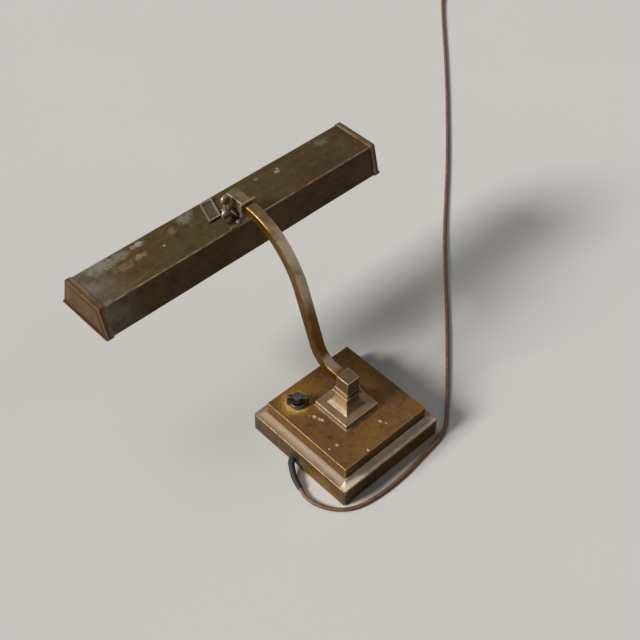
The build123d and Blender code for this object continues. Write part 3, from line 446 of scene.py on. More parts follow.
def makeCap(s, side, name, node):
    t, m, rise, back, lipOut = s.capSheet, s.panelMargin, s.panelRise, s.lipBack, 1.0 + s.lip
    # plate: rings of the shade's outline, each with its distance along, inset, lift at the mouth, wear and grime
    rings = [(0, -t, 0, 0.3, 0), (0.45, -t, 0, 0.9, 0), (0.8, -0.9 * t, 0.06, 1, 0), (0.96, -0.65 * t, 0.25, 1, 0),
             (1.0, -0.3 * t, 0.5, 0.5, 0), (1.0, m - 0.6, m - 0.6, 0, 0.3), (1.06, m, m, 0, 1),
             (1.0 + 0.5 * rise, m + 0.7, m + 0.7, 0.15, 0.6), (1.0 + 0.94 * rise, m + 1.4, m + 1.4, 0.35, 0.1),
             (1.0 + rise, m + 2.0, m + 2.0, 0.1, 0), (1.0 + rise, 9, 9, 0, 0)]
    plate = np.stack([capRing(s, x, inset, lift, *((s.capBend, 0.3) if inset < 1 else (1.2, 1.0)))
                      for x, inset, lift, worn, dirty in rings])
    plateWear, plateGrime = np.array(rings).T[3:, :, None]
    # band: its own small section carried over side, top and side; the loop is cut at the mouth
    bandCorners = [(-s.band, 0.02), (-s.band, -t), (back, -t), (back, 0.02)]
    section = roundOutline(bandCorners, [0.05, 0.35, 0.05, 0.05], True, 3, 0.1)[0]
    band = np.stack([capRing(s, 0, d, 0, s.capBend, 0.02) for d in section[:, 1]], 1)
    band[..., 0] = section[:, 0][None]
    cut = len(band) // 8
    band = band[cut:len(band) - cut]
    bandWear = np.where(section[:, 0] < -s.band + 0.5, 0.8, 0.0)[None]
    # lip: a small bar across the mouth that tapers at its ends
    lipCorners = [(back, 0), (lipOut, 0), (lipOut, s.lipThick), (back, s.lipThick)]
    bar, barWear, _ = roundOutline(lipCorners, [0.1, 0.45, 0.45, 0.1], True, 4, 0.1)
    reach = halfWidth(s, -s.deep, -t) - 0.1
    stations = np.r_[-reach, -reach + 0.6, np.linspace(-reach + 2, reach - 2, 9), reach - 0.6, reach]
    taper = np.r_[0.55, 0.9, np.ones(9), 0.9, 0.55]
    lip = np.zeros((len(stations), len(bar), 3))
    lip[..., 0] = back + (bar[:, 0] - back)[None] * taper[:, None]
    lip[..., 1], lip[..., 2] = stations[:, None], bar[:, 1][None] - s.deep
    flip = np.array([side, 1, 1])
    place = flip * [s.half, s.middle, s.top]
    pieceFrom(name, [barSkin(plate * flip + place, wear=plateWear, grime=plateGrime),
                     barSkin(band * flip + place, wear=bandWear),
                     barSkin(lip * flip + place, wear=0.7 * barWear[None])], "shade", node)


makeTrough(shadeShape)
makeCap(shadeShape, -1, "shadeCapLeft", "shade_cap_left")
makeCap(shadeShape, 1, "shadeCapRight", "shade_cap_right")
print("shade made")

# wing nut: a tapered hub with two round ears on short necks
wingShape = Sizes(
    seat=7.55, pivot=(-167.13, 222.57), hubLow=5.25, hubTop=4.3, hubLong=8.0, bore=2.55, ear=5.8, earOut=7.6,
    earReach=9.4, earThick=5.4, rimPower=0.62, neckOut=4.4, neckFoot=2.8, neckShort=3.6,
    neckWide=3.1, neckFlare=0.9, neckThick=2.0, neckWaist=0.5, neckSwell=0.1)


def makeWingNut(w):
    at = (w.seat,) + w.pivot
    hubCorners = [(w.bore, 0), (w.hubLow, 0), (w.hubTop, w.hubLong), (w.bore, w.hubLong)]
    hub, hubWear, _ = roundOutline(hubCorners, [0.05, 0.5, 0.9, 0.3], True)
    skins = [skin(lathe(hub, 40, "x", at), wrapRows=True, wear=0.5 * hubWear[:, None])]
    a = np.linspace(0, 2 * pi, 36, endpoint=False)
    b = np.linspace(-pi / 2, pi / 2, 17)[:, None]
    t = np.linspace(0, 1, 9)[:, None]
    for way in (1, -1):
        # ear: a disc with a full rim, radius falling as a root of the cosine while the thickness follows the sine
        r = w.ear * np.abs(cos(b)) ** w.rimPower
        ear = np.stack([at[0] + w.earOut + r * cos(a), at[1] + w.earThick / 2 * sin(b) * np.ones_like(a),
                        at[2] + way * w.earReach + r * sin(a)], -1)
        skins.append(skin(ear, wear=0.75 * np.abs(cos(b)) ** 2))
        # neck: ellipses that swell from the hub to the ear
        wide = w.neckWide + w.neckFlare * t ** 2
        thick = w.neckThick - w.neckWaist * sin(pi * t) + w.neckSwell * t
        rise = way * (w.neckFoot + (w.earReach - w.neckShort) * t)
        neck = np.stack([at[0] + w.neckOut + (w.earOut - w.neckOut) * t + wide * cos(a),
                         at[1] + thick * sin(a), (at[2] + rise) * np.ones_like(a)], -1)
        skins.append(barSkin(neck, wear=0.3))
    pieceFrom("wingNut", skins, "wing_nut", "wing_nut", 50)


# switch knob: a skirt, a fluted hub and a finger bar across it
knobShape = Sizes(
    at=(36.5, -36.5, 43.5), turn=135.0, skirt=8.75, skirtSide=2.4, skirtIn=1.3, skirtTop=4.0, nutRoom=7.3, nutDeep=2.2,
    hub=5.9, flutes=24, fluteDeep=0.45, top=13.5, barLong=24.0, barWide=6.2, barEnd=2.3)


def makeKnob(k):
    top, out = k.top, k.skirt
    skirtCorners = [(0, k.nutDeep), (k.nutRoom, k.nutDeep), (k.nutRoom, 0), (out, 0),
                    (out, k.skirtSide), (out - k.skirtIn, k.skirtTop), (0, k.skirtTop)]
    # the skirt's worn shoulder is partly real wear and partly a painted highlight
    skirt, skirtWear, _ = roundOutline(skirtCorners, [0, 0.2, 0.2, 0.4, 0.8, 0.8, 0])
    # hub: a height, an inset and a share of the flutes for each ring; the flutes are a cosine round it
    height, inset, fade = np.array([
        (3.8, 0, 1), (4.2, 0, 1), (top - 1.2, 0, 1), (top - 0.5, 0.35, 1), (top - 0.1, 0.9, 0.6), (top, 1.6, 0.1),
        (top + 0.25, k.hub, 0)]).T[:, :, None]
    a = np.linspace(0, 2 * pi, 8 * k.flutes, endpoint=False)
    r = k.hub - inset - k.fluteDeep * (0.5 + 0.5 * cos(k.flutes * a)) * fade
    hub = np.stack([r * cos(a), r * sin(a), np.broadcast_to(height, r.shape)], -1)
    # bar: a rounded rectangle at each height, drawn in towards its crowned top
    levels = [(0.6, 0.35), (0.75, 0.12), (1.1, 0), (top - 2.2, 0.25), (top - 1.2, 0.5), (top - 0.55, 1.0),
              (top - 0.3, 1.8)]
    loops = [barLoop(k.barLong - 2 * d, k.barWide - 2 * d, max(0.3, k.barEnd - 0.6 * d))[0] for z, d in levels]
    bar = np.stack([np.c_[loop, np.full(len(loop), z)] for loop, (z, d) in zip(loops, levels)])
    rubbed = np.array([0, 0, 0, 0.05, 0.2, 0.4, 0.2])[:, None]
    c, s = cos(np.radians(k.turn)), sin(np.radians(k.turn))
    turned = np.array([[c, s, 0], [-s, c, 0], [0, 0, 1]])
    pieceFrom("switchKnob", [skin(lathe(skirt, 64) + k.at, wear=skirtWear[:, None]),
                             skin(hub @ turned + k.at, startCap=True, wear=rubbed),
                             barSkin(bar @ turned + k.at, wear=rubbed)], "switch_knob", "switch_knob", 45)


makeWingNut(wingShape)
makeKnob(knobShape)
armTip = bentLine(armShape.start, armShape.runs)[0][-1][0] * mm
for softRow in (
        ("armKnuckle", "arm_knuckle", "stand", 0.6, 1.6, armTip + 1e-5), ("hingeBolt", "hinge_bolt", "stand", 0.3),
        ("hingeWasher", "hinge_washer", "stand", 0.2), ("shadeSaddle", "shade_saddle", "shade", 0.3, 1.6),
        ("saddleRivets", "saddle_rivets", "shade", 0.15), ("socketBracket", "socket_bracket", "shade", 0.2),
        ("cordGrommet", "cord_grommet", "stand", 0.2)):
    softCopy(*softRow)
print("hinge and knob made")

# shaders: short calls that add nodes to one tree
def fromScreen(r, g, b):
    # a screen colour of 0 to 255 as linear light
    c = np.array([r, g, b]) / 255
    return (*np.where(c <= 0.04045, c / 12.92, ((c + 0.055) / 1.055) ** 2.4).tolist(), 1.0)


class Nodes:
    def __init__(self, tree):
        self.tree = tree

    def put(self, target, value):
        if isinstance(value, bpy.types.NodeSocket):
            self.tree.links.new(value, target)
        else:
            target.default_value = value

    def add(self, kind, settings, sockets):
        made = self.tree.nodes.new("ShaderNode" + kind)
        for key, value in settings.items():
            setattr(made, key, value)
        for key, value in sockets.items():
            self.put(made.inputs[key], value)
        return made

    def calc(self, kind, a, b=0.0, clamp=True):
        return self.add("Math", dict(operation=kind, use_clamp=clamp), {0: a, 1: b}).outputs[0]

    def most(self, a, b, clamp=True):
        return self.calc("MAXIMUM", a, b, clamp)

    def seen(self):
        # one for what the camera, reflections and glass see, nothing for soft bounces
        rays = self.add("LightPath", {}, {}).outputs
        return self.most(rays["Is Camera Ray"], self.most(rays["Is Glossy Ray"], rays["Is Transmission Ray"]))


class Finish(Nodes):
    # one material with its shader, and its shade as mixed so far
    def __init__(self, name, **fixed):
        self.material = bpy.data.materials.new(name)
        self.material.use_nodes = True
        super().__init__(self.material.node_tree)
        self.tree.nodes.clear()
        self.shader = self.add("BsdfPrincipled", {}, fixed)
        self.add("OutputMaterial", {}, {0: self.shader.outputs[0]})
        self.spot = self.add("TexCoord", {}, {}).outputs["Object"]

    def mark(self, name):
        return self.add("Attribute", dict(attribute_name=name), {}).outputs["Fac"]

    def part(self, axis):
        return self.add("SeparateXYZ", {}, {0: self.spot}).outputs[axis]

    def place(self, scale, turn=(0, 0, 0)):
        return self.add("Mapping", {}, {"Vector": self.spot, "Scale": scale, "Rotation": turn}).outputs[0]

    def noise(self, scale, detail=4.0, rough=0.55, at=None, bend=0.0):
        return self.add("TexNoise", {}, {"Vector": at or self.spot, "Scale": scale, "Detail": detail,
                                         "Roughness": rough, "Distortion": bend}).outputs["Fac"]

    def ramp(self, value, low, high, out=(0.0, 1.0)):
        return self.add("MapRange", dict(interpolation_type="SMOOTHSTEP"), {
            "Value": value, "From Min": low, "From Max": high, "To Min": out[0], "To Max": out[1]}).outputs[0]

    def times(self, value, *others):
        for other in others:
            value = self.calc("MULTIPLY", value, other)
        return value

    def size(self, value):
        return self.calc("ABSOLUTE", value, clamp=False)

    def mix(self, share, a, b):
        return self.add("Mix", dict(data_type="RGBA"), {0: share, 6: a, 7: b}).outputs[2]

    def blend(self, share, low, high):
        # the first shade, between two screen colours
        self.shade = self.mix(share, fromScreen(*low), fromScreen(*high))

    def tint(self, colour, *shares):
        # the shade drawn towards a screen colour by the product of the shares
        self.shade = self.mix(self.times(*shares), self.shade, fromScreen(*colour))

    def bump(self, height, depth, strength, **under):
        return self.add("Bump", {}, {"Height": height, "Distance": depth, "Strength": strength, **under}).outputs[0]

    def near(self, point, inner, outer, wobble, scale, stretch=(1, 1, 1)):
        # one inside the inner radius about a point, nothing past the outer one; the stretch draws the spot
        # out along the axes where it is under one, and noise shakes its edge
        apart = self.spot
        for kind, other in (("SUBTRACT", point), ("MULTIPLY", stretch)):
            apart = self.add("VectorMath", dict(operation=kind), {0: apart, 1: other}).outputs[0]
        apart = self.add("VectorMath", dict(operation="LENGTH"), {0: apart}).outputs["Value"]
        shake = self.ramp(self.noise(scale, 5, 0.6), 0.25, 0.75, (-wobble, wobble))
        return self.ramp(self.calc("ADD", apart, shake, False), outer, inner)

    def feed(self, **sockets):
        for key, value in {"Base Color": self.shade, **sockets}.items():
            self.put(self.shader.inputs[key], value)
        return self.material


# stage: a wide pale floor under an even sky, a broad soft light on the shade's end side, weaker ones above and opposite
stageLook = Sizes(
    floor=(0.74, 0.735, 0.725), bounce=(0.13, 0.1, 0.075), half=60.0, sky=0.085, skySeen=0.565,
    skyTint=(1.0, 0.977, 0.922))
lightSet = dict(
    keyLight=Sizes(along=(1.75, -0.65, 1.15), spread=17.0, power=3.4, tint=(1.0, 0.97, 0.93)),
    fillLight=Sizes(along=(-1.5, 1.0, 1.2), spread=26.0, power=0.09, tint=(0.94, 0.97, 1.0)),
    topLight=Sizes(along=(0.4, -1.2, 2.0), spread=30.0, power=0.4, tint=(1.0, 1.0, 1.0)))


def makeStage(s):
    h = s.half
    mesh = bpy.data.meshes.new("floor")
    mesh.from_pydata([(-h, -h, 0), (h, -h, 0), (h, h, 0), (-h, h, 0)], [], [(0, 1, 2, 3)])
    floor = linked("floor", mesh)
    # what is seen of the sky is paler than the sky that lights the lamp
    scene.world = bpy.data.worlds.new("evenSky")
    scene.world.use_nodes = True
    sky = Nodes(scene.world.node_tree)
    background = sky.tree.nodes["Background"].inputs
    level = sky.add("MapRange", {}, {"Value": sky.seen(), "To Min": s.sky, "To Max": s.skySeen}).outputs[0]
    sky.put(background["Strength"], level)
    sky.put(background["Color"], (*s.skyTint, 1))
    scene.view_settings.view_transform = "Standard"


def makeLight(name, k):
    # a far lamp: its light runs from the given direction, as soft as its spread in degrees
    axes = facing(k.along)
    lamp = bpy.data.lights.new(name, "SUN")
    lamp.angle, lamp.energy, lamp.color = np.radians(k.spread), k.power, k.tint
    setUp(name, lamp, axes, 3 * axes[:, 2])


makeStage(stageLook)
for lightName, lightLook in lightSet.items():
    makeLight(lightName, lightLook)
print("stage and lights set")


# aged metal: broad colour clouds, streaks along the piece, small stains, rubbed edges, dirt in corners, pale bloom
agedUsual = dict(streak=0.34, grain=(1, 1, 1))
agedLooks = dict(
    shadeFinish=dict(
        ground=(91, 76, 50), warm=(92, 71, 43), dark=(38, 28, 17), pale=(172, 154, 122), bloom=(134, 134, 112),
        edge=(190, 173, 140), metal=0.4, gloss=0.1, rough=0.42, blooms=0.35, stain=0.46, streak=0.2,
        grain=(0.12, 1, 1)),
    capFinish=dict(
        ground=(88, 70, 45), warm=(94, 69, 40), dark=(38, 28, 17), pale=(166, 146, 116), bloom=(126, 120, 100),
        metal=0.45, gloss=0.12, rough=0.42, blooms=0.3, stain=0.5, streak=0.3, grain=(1, 1, 0.25)),
    baseFinish=dict(
        ground=(117, 86, 54), warm=(128, 93, 44), dark=(48, 31, 13), pale=(178, 162, 146), bloom=(150, 134, 110),
        edge=(174, 149, 107), metal=0.34, gloss=0.1, rough=0.42, blooms=0.25, stain=0.48, streak=0.3),
    columnFinish=dict(
        ground=(150, 130, 108), warm=(180, 146, 100), dark=(78, 57, 33), pale=(216, 198, 174), bloom=(200, 186, 164),
        edge=(184, 156, 114), metal=0.38, gloss=0.12, rough=0.35, blooms=0.3, stain=0.45, grain=(1, 1, 0.4)),
    blockFinish=dict(
        ground=(110, 90, 68), warm=(116, 92, 64), dark=(48, 36, 23), pale=(196, 176, 150), bloom=(168, 158, 140),
        metal=0.5, gloss=0.12, rough=0.4, blooms=0.35, stain=0.5, grain=(1, 1, 0.4)),
    armFinish=dict(
        ground=(104, 74, 27), warm=(118, 82, 26), dark=(50, 34, 11), pale=(204, 190, 170), bloom=(140, 134, 112),
        edge=(196, 158, 98), metal=0.7, gloss=0.08, rough=0.34, blooms=0.3, stain=0.5, grain=(1, 0.3, 0.3)),
    hingeFinish=dict(
        ground=(124, 111, 90), warm=(134, 116, 84), dark=(44, 35, 24), pale=(200, 190, 166), bloom=(152, 152, 132),
        metal=0.55, gloss=0.2, rough=0.36, blooms=0.4, stain=0.6),
    knuckleFinish=dict(
        ground=(122, 110, 90), warm=(132, 115, 84), dark=(44, 35, 24), pale=(196, 188, 166), bloom=(150, 152, 134),
        metal=0.5, gloss=0.2, rough=0.38, blooms=0.5, stain=0.6, grain=(0.2, 1, 1)),
    hingeEdge=dict(
        ground=(178, 162, 126), warm=(190, 162, 108), dark=(90, 74, 48), pale=(204, 194, 166), bloom=(168, 162, 140),
        metal=0.55, gloss=0.25, rough=0.36, blooms=0.2, stain=0.6),
    saddleEdge=dict(
        ground=(128, 112, 88), warm=(136, 114, 80), dark=(62, 50, 34), pale=(160, 148, 128), bloom=(140, 134, 116),
        metal=0.5, gloss=0.2, rough=0.38, blooms=0.2, stain=0.6),
    saddleFinish=dict(
        ground=(96, 82, 64), warm=(100, 80, 56), dark=(44, 34, 22), pale=(150, 138, 122), bloom=(136, 132, 116),
        metal=0.5, gloss=0.15, rough=0.42, blooms=0.4, stain=0.5))


def agedMetal(name, look, marks=None):
    # layers laid over each other, each by its own noise; a look with no edge colour takes its pale one there
    k = Sizes(agedUsual | {"edge": look["pale"]} | look)
    f = Finish(name, **{"Specular IOR Level": k.gloss})
    cloud, patch, fleck = f.noise(20, 6, 0.62, None, 0.6), f.noise(85, 6, 0.66), f.noise(620, 3, 0.6)
    streak = f.noise(190, 4, 0.6, f.place(k.grain))
    f.blend(f.ramp(cloud, 0.36, 0.64), k.ground, k.warm)
    f.tint(k.dark, f.ramp(patch, 0.47, 0.74), k.stain)
    f.tint(k.dark, f.ramp(streak, 0.5, 0.78), k.streak)
    f.tint(k.pale, f.ramp(streak, 0.46, 0.26), 0.5 * k.streak)
    f.tint(k.dark, f.ramp(fleck, 0.54, 0.8), 0.45)
    # bloom: soft blotches of two sizes, kept where a broad noise is high
    blotch = f.most(f.ramp(f.noise(150, 3, 0.5), 0.6, 0.74), f.times(f.ramp(f.noise(420, 2), 0.64, 0.76), 0.8))
    bloom = f.times(blotch, f.ramp(f.noise(16, 2), 0.46, 0.62), k.blooms)
    f.tint(k.bloom, bloom)
    # scratches: stretched noise, thin where it crosses its middle
    lines = f.noise(60, 2, 0.5, f.place((1, 14, 14), (0.2, 0.5, 0.4)))
    scratch = f.ramp(f.size(f.calc("SUBTRACT", lines, 0.5, False)), 0.012, 0.0)
    scratch = f.times(scratch, f.ramp(cloud, 0.42, 0.66))
    f.tint(k.pale, scratch, 0.22)
    # wear: the rubbed edge is broken up by the patch noise
    worn = f.times(f.mark("wear"), f.ramp(patch, 0.36, 0.6, (0.2, 1.0)))
    f.tint(k.edge, worn, 0.78)
    dirt = f.times(f.mark("grime"), f.ramp(cloud, 0.3, 0.7, (0.5, 0.95)))
    f.tint(k.dark, dirt)
    matte = bloom  # film and bloom are dull, rubbed edges are bare metal
    if marks:
        matte = f.most(matte, marks(f))  # marks tint the shade and give back where they are dull
    metal = f.calc("ADD", f.ramp(matte, 0.0, 1.0, (k.metal, 0.15 * k.metal)), f.times(worn, 0.25))
    rough = f.calc("ADD", f.ramp(patch, 0.3, 0.7, (k.rough - 0.08, k.rough + 0.12)), f.times(dirt, 0.2))
    rough = f.calc("SUBTRACT", f.calc("ADD", rough, f.times(matte, 0.3)), f.times(worn, 0.08))
    under = f.bump(f.calc("ADD", f.times(fleck, 0.5), f.times(patch, 0.5)), 0.00016, 0.5)
    return f.feed(Metallic=metal, Roughness=rough, Normal=f.bump(scratch, 0.00003, 0.25, Normal=under))


# marks on the base: gold rubbed free round the knob, pale film round the column's plate, chips, gold on the low faces,
# a painted highlight on the cove along +Y, and painted shade on the back of the top and on the two faces by the cord's
# far run, which face away from the main light; pairs are where a mark begins and where it is full, in metres
baseMarks = Sizes(
    rubbed=(178, 162, 146), gold=(200, 150, 66), core=(244, 206, 138), wash=(156, 114, 52), grey=(84, 68, 52),
    cove=(166, 150, 133), coveLit=(252, 236, 212), film=(204, 194, 174), chip=(222, 204, 164), low=(146, 100, 34),
    # dark is the colour of the painted shade on the back of the top and on the faces along +Y
    dark=(48, 27, 4), top=0.043,
    halo=dict(point=(0.0385, -0.039, 0.043), inner=0.0085, outer=0.0205, wobble=0.0042, scale=150),
    ring=dict(point=(0.0378, -0.0376, 0.043), inner=0.009, outer=0.0142, wobble=0.0024, scale=300),
    around=dict(point=(0.032, -0.047, 0.043), inner=0.008, outer=0.042, wobble=0.008, scale=60),
    # back: painted shade, the back corner of the top darkened where the arm and shade shadow it and the light falls off
    back=dict(point=(-0.058, -0.05, 0.043), inner=0.01, outer=0.085, wobble=0.01, scale=40),
    plate=(0.0262, 0.0236), plateShake=0.0008, darkSide=(0.0692, 0.0699), underLedge=(0.0236, 0.023),
    stepSide=(0.0592, 0.0595), stepFoot=(0.0294, 0.0298), stepTop=(0.0428, 0.0424),
    coveIn=(0.06, 0.0608), coveOut=(0.069, 0.0682), coveFoot=(0.0238, 0.0242),
    lowSpots=[((0.07, 0.028, 0.007), 0.004, 0.019, (1, 0.55, 1.3)), ((0.07, 0.05, 0.004), 0.003, 0.012, (1, 0.8, 1.3)),
              ((0.07, -0.03, 0.011), 0.001, 0.004, (1, 1.6, 0.6)),
              ((-0.018, 0.07, 0.005), 0.004, 0.022, (0.45, 1, 2.2)),
              ((-0.055, 0.07, 0.006), 0.002, 0.012, (0.7, 1, 1.6))],
    chips=[(0.0355, -0.0118, 0.0021), (0.0335, -0.005, 0.0026), (-0.0111, 0.0388, 0.0023), (-0.0138, 0.0449, 0.0012),
           (0.0436, 0.0304, 0.0018), (0.0532, 0.0285, 0.0014), (0.0248, 0.0566, 0.0015), (0.0385, -0.016, 0.001)])


def markBase(f):
    b = baseMarks
    x, y, z = (f.part(axis) for axis in range(3))
    clean = f.calc("SUBTRACT", 1.0, f.mark("grime"))  # film and rub leave the dirt in the inner corners
    f.tint(b.rubbed, f.mark("rub"), clean, f.ramp(f.noise(85, 6, 0.66), 0.3, 0.6, (0.16, 0.4)))
    # painted shade: the back corner of the top drawn towards the dark colour
    f.tint(b.dark, f.near(**b.back), 0.7)
    low = f.ramp(z, *b.underLedge)
    # painted shade: the step face and the low face along +Y, turned away from the main light, drawn towards the dark
    # colour
    step = f.times(f.ramp(y, *b.stepSide), f.ramp(z, *b.stepFoot))
    side = f.times(f.most(f.times(f.ramp(y, *b.darkSide), low), step), f.ramp(z, *b.stepTop))
    f.tint(b.dark, side, 0.5)
    left = f.times(f.ramp(x, *b.darkSide), low)
    f.tint(b.grey, left, f.ramp(f.noise(45, 5, 0.6), 0.3, 0.66, (0.4, 0.9)))
    away = f.most(f.size(x), f.size(y), False)
    cove = f.times(f.ramp(away, *b.coveIn), f.ramp(away, *b.coveOut), clean, f.ramp(z, *b.coveFoot),
                   f.ramp(f.noise(70, 5, 0.6), 0.3, 0.6, (0.25, 0.75)))
    f.tint(b.cove, cove)
    # painted highlight: the cove along +Y made paler, for light reflected from above
    f.tint(b.coveLit, cove, f.ramp(y, *b.coveIn))
    f.tint(b.wash, f.near(**b.around), 0.4)
    broken = f.ramp(f.noise(210, 5, 0.65), 0.3, 0.62, (0.35, 0.95))
    f.tint(b.gold, f.near(**b.halo), broken)
    f.tint(b.core, f.near(**b.ring), broken, 0.85)
    shake = f.ramp(f.noise(260, 4), 0.25, 0.75, (-b.plateShake, b.plateShake))
    film = f.times(f.ramp(f.calc("ADD", away, shake, False), *b.plate), 0.6)
    f.tint(b.film, film)
    dull = f.most(f.times(cove, 1.2), film)
    for point, inner, outer, stretch in b.lowSpots:
        f.tint(b.low, f.near(point, inner, outer, 0.3 * outer, 120, stretch), 0.7)
    for chipX, chipY, size in b.chips:
        chip = f.near((chipX, chipY, b.top), 0.3 * size, 1.1 * size, 0.5 * size, 330, (1, 0.75, 1))
        f.tint(b.chip, chip, 0.8)
        dull = f.most(dull, chip)
    return dull


# marks on the shade: verdigris and whitish film in patches on its top, a grey film by the end cap that is partly a
# painted sheen, and painted shade darkening the far end, where the light falls off; each patch has a colour, a place,
# two radii, a stretch and a strength
shadeMarks = Sizes(
    green=(146, 148, 128), white=(196, 190, 174), beige=(150, 124, 88), film=(136, 134, 122), brown=(40, 28, 17),
    top=0.2036, capFilm=(0.128, 0.181), farEnd=(0.03, -0.15),
    patches=[("green", 0.15, -0.2005, 0.003, 0.0105, 0.7, 0.75), ("green", 0.129, -0.1985, 0.001, 0.008, 0.5, 0.55),
             ("white", 0.1045, -0.2, 0.001, 0.0042, 0.5, 0.6), ("beige", 0.132, -0.183, 0.001, 0.006, 0.5, 0.5),
             ("white", 0.112, -0.1855, 0.0, 0.0045, 0.45, 0.4), ("beige", 0.066, -0.1925, 0.001, 0.005, 0.8, 0.5),
             ("green", 0.0443, -0.2005, 0.001, 0.0085, 0.8, 0.6), ("white", 0.0845, -0.1812, 0.0006, 0.0016, 1.0, 0.85),
             ("white", -0.075, -0.1912, 0.0006, 0.003, 0.9, 0.8), ("white", -0.079, -0.194, 0.0004, 0.0022, 0.9, 0.7),
             ("white", -0.05, -0.196, 0.0004, 0.002, 0.9, 0.4), ("green", -0.145, -0.196, 0.001, 0.007, 0.6, 0.35)])


def markShade(f):
    s = shadeMarks
    along, broken = f.part(0), f.ramp(f.noise(330, 4, 0.6), 0.28, 0.58, (0.35, 1.25))
    dull = f.times(f.ramp(f.noise(560, 2, 0.4), 0.715, 0.76), f.ramp(f.noise(24, 2), 0.45, 0.6))  # fine specks
    f.tint(s.white, dull, 0.5)
    for colour, x, y, inner, outer, stretch, share in s.patches:
        patch = f.times(f.near((x, y, s.top), inner, 1.25 * outer, 0.4 * outer, 190, (stretch, 1, 1)), broken)
        f.tint(s[colour], patch, share)
        dull = f.most(dull, patch)
    # a grey film near the end cap at +X, partly a painted sheen where that end is brighter under the light
    f.tint(s.film, f.ramp(along, *s.capFilm), f.ramp(f.noise(60, 5, 0.6), 0.35, 0.65, (0.2, 0.7)))
    # painted shade: the far end darkened, where the light falls off along the shade
    f.tint(s.brown, f.ramp(along, *s.farEnd), f.ramp(f.noise(14, 4), 0.3, 0.7, (0.15, 0.4)))
    return dull


# marks on the end caps: the pressed end plates are redder than their bands
capMarks = Sizes(red=(108, 73, 44), plate=(0.1846, 0.185), run=(1, 1, 0.3))


def markCap(f):
    end, cloud = f.ramp(f.size(f.part(0)), *capMarks.plate), f.noise(120, 5, 0.6, f.place(capMarks.run))
    f.tint(capMarks.red, end, f.ramp(cloud, 0.3, 0.65, (0.25, 0.65)))
    return 0.0


# marks on the column: a brown square plate, grey film in the hollow above it, one side of the shaft browner as painted
# shade, on the face along +Y that the main light misses
columnMarks = Sizes(
    # brown is the painted shade on the face along +Y
    film=(166, 151, 134), plate=(134, 114, 92), brown=(66, 48, 26), plateTop=(0.0494, 0.049), hollow=(0.0555, 0.05),
    face=(0.0, 0.0012), faceFoot=(0.0492, 0.05))


def markColumn(f):
    c = columnMarks
    height, cloud = f.part(2), f.noise(110, 5, 0.65)
    plate = f.ramp(height, *c.plateTop)
    keep = f.calc("SUBTRACT", 1.0, f.times(f.mark("wear"), 0.8))  # rubbed edges stay free
    f.tint(c.plate, plate, keep, f.ramp(cloud, 0.36, 0.6, (0.5, 0.9)))
    film = f.times(f.ramp(height, *c.hollow), f.ramp(cloud, 0.36, 0.6, (0.2, 0.9)), f.calc("SUBTRACT", 1.0, plate))
    f.tint(c.film, film)
    turned = f.calc("SUBTRACT", f.part(1), f.size(f.part(0)), False)  # above nothing on the face along Y
    # painted shade: the face along +Y browner, turned away from the main light
    f.tint(c.brown, f.ramp(turned, *c.face), f.ramp(height, *c.faceFoot, (0.0, 0.55)))
    return film


# marks on the saddle: the raised rim of its side plate is paler than the floor inside it, a painted shadow darkens the
# plate under the hinge, and the tongue is rubbed along the shade's edge
saddleMarks = Sizes(
    rim=(148, 138, 130), level=(0.2052, 0.2056), above=(0.2064, 0.206), grease=(20, 15, 10), rubbed=(150, 132, 110),
    tongue=(-0.1585, -0.1545),
    shelter=dict(point=(0.011, -0.168, 0.2048), inner=0.004, outer=0.014, wobble=0.003, scale=160,
                 stretch=(0.75, 1, 0.5)))


def markSaddle(f):
    s = saddleMarks
    height = f.part(2)
    # painted shadow: the plate under the hinge darkened
    f.tint(s.grease, f.near(**s.shelter), 0.85)
    f.tint(s.rubbed, f.ramp(f.part(1), *s.tongue), f.ramp(f.noise(130, 4), 0.3, 0.6, (0.3, 0.8)))
    rim = f.times(f.ramp(height, *s.level), f.ramp(height, *s.above))
    f.tint(s.rim, rim, f.ramp(f.noise(240, 4), 0.3, 0.62, (0.45, 0.95)))
    return 0.0


# marks on the knuckle: a painted shadow in the shelter of the fork, beside the wing nut
knuckleMarks = Sizes(
    grease=(18, 14, 10),
    shelter=dict(point=(0.0064, -0.1625, 0.214), inner=0.002, outer=0.0115, wobble=0.002, scale=180))


def markKnuckle(f):
    # painted shadow: the fork's side beside the wing nut darkened, and made dull
    grease = f.times(f.near(**knuckleMarks.shelter), 0.85)
    f.tint(knuckleMarks.grease, grease)
    return grease


# marks on the arm: its lower bend is browner than the rest, its upper side is silver, partly rubbed and partly a
# painted highlight
armMarks = Sizes(brown=(88, 50, 3), silver=(200, 188, 172), height=(0.185, 0.125))


def markArm(f):
    low = f.ramp(f.part(2), *armMarks.height)
    f.tint(armMarks.brown, low, f.ramp(f.noise(60, 4), 0.3, 0.7, (0.5, 0.9)))
    # silver on the upper side: partly rubbed metal, partly a painted highlight where light from above catches it
    f.tint(armMarks.silver, f.mark("rub"), f.ramp(f.noise(85, 6, 0.66), 0.3, 0.6, (0.3, 0.8)))
    return 0.0


ownMarks = dict(armFinish=markArm, knuckleFinish=markKnuckle, capFinish=markCap, columnFinish=markColumn,
                baseFinish=markBase, shadeFinish=markShade, saddleFinish=markSaddle)
finishes = {name: agedMetal(name, look, ownMarks.get(name)) for name, look in agedLooks.items()}

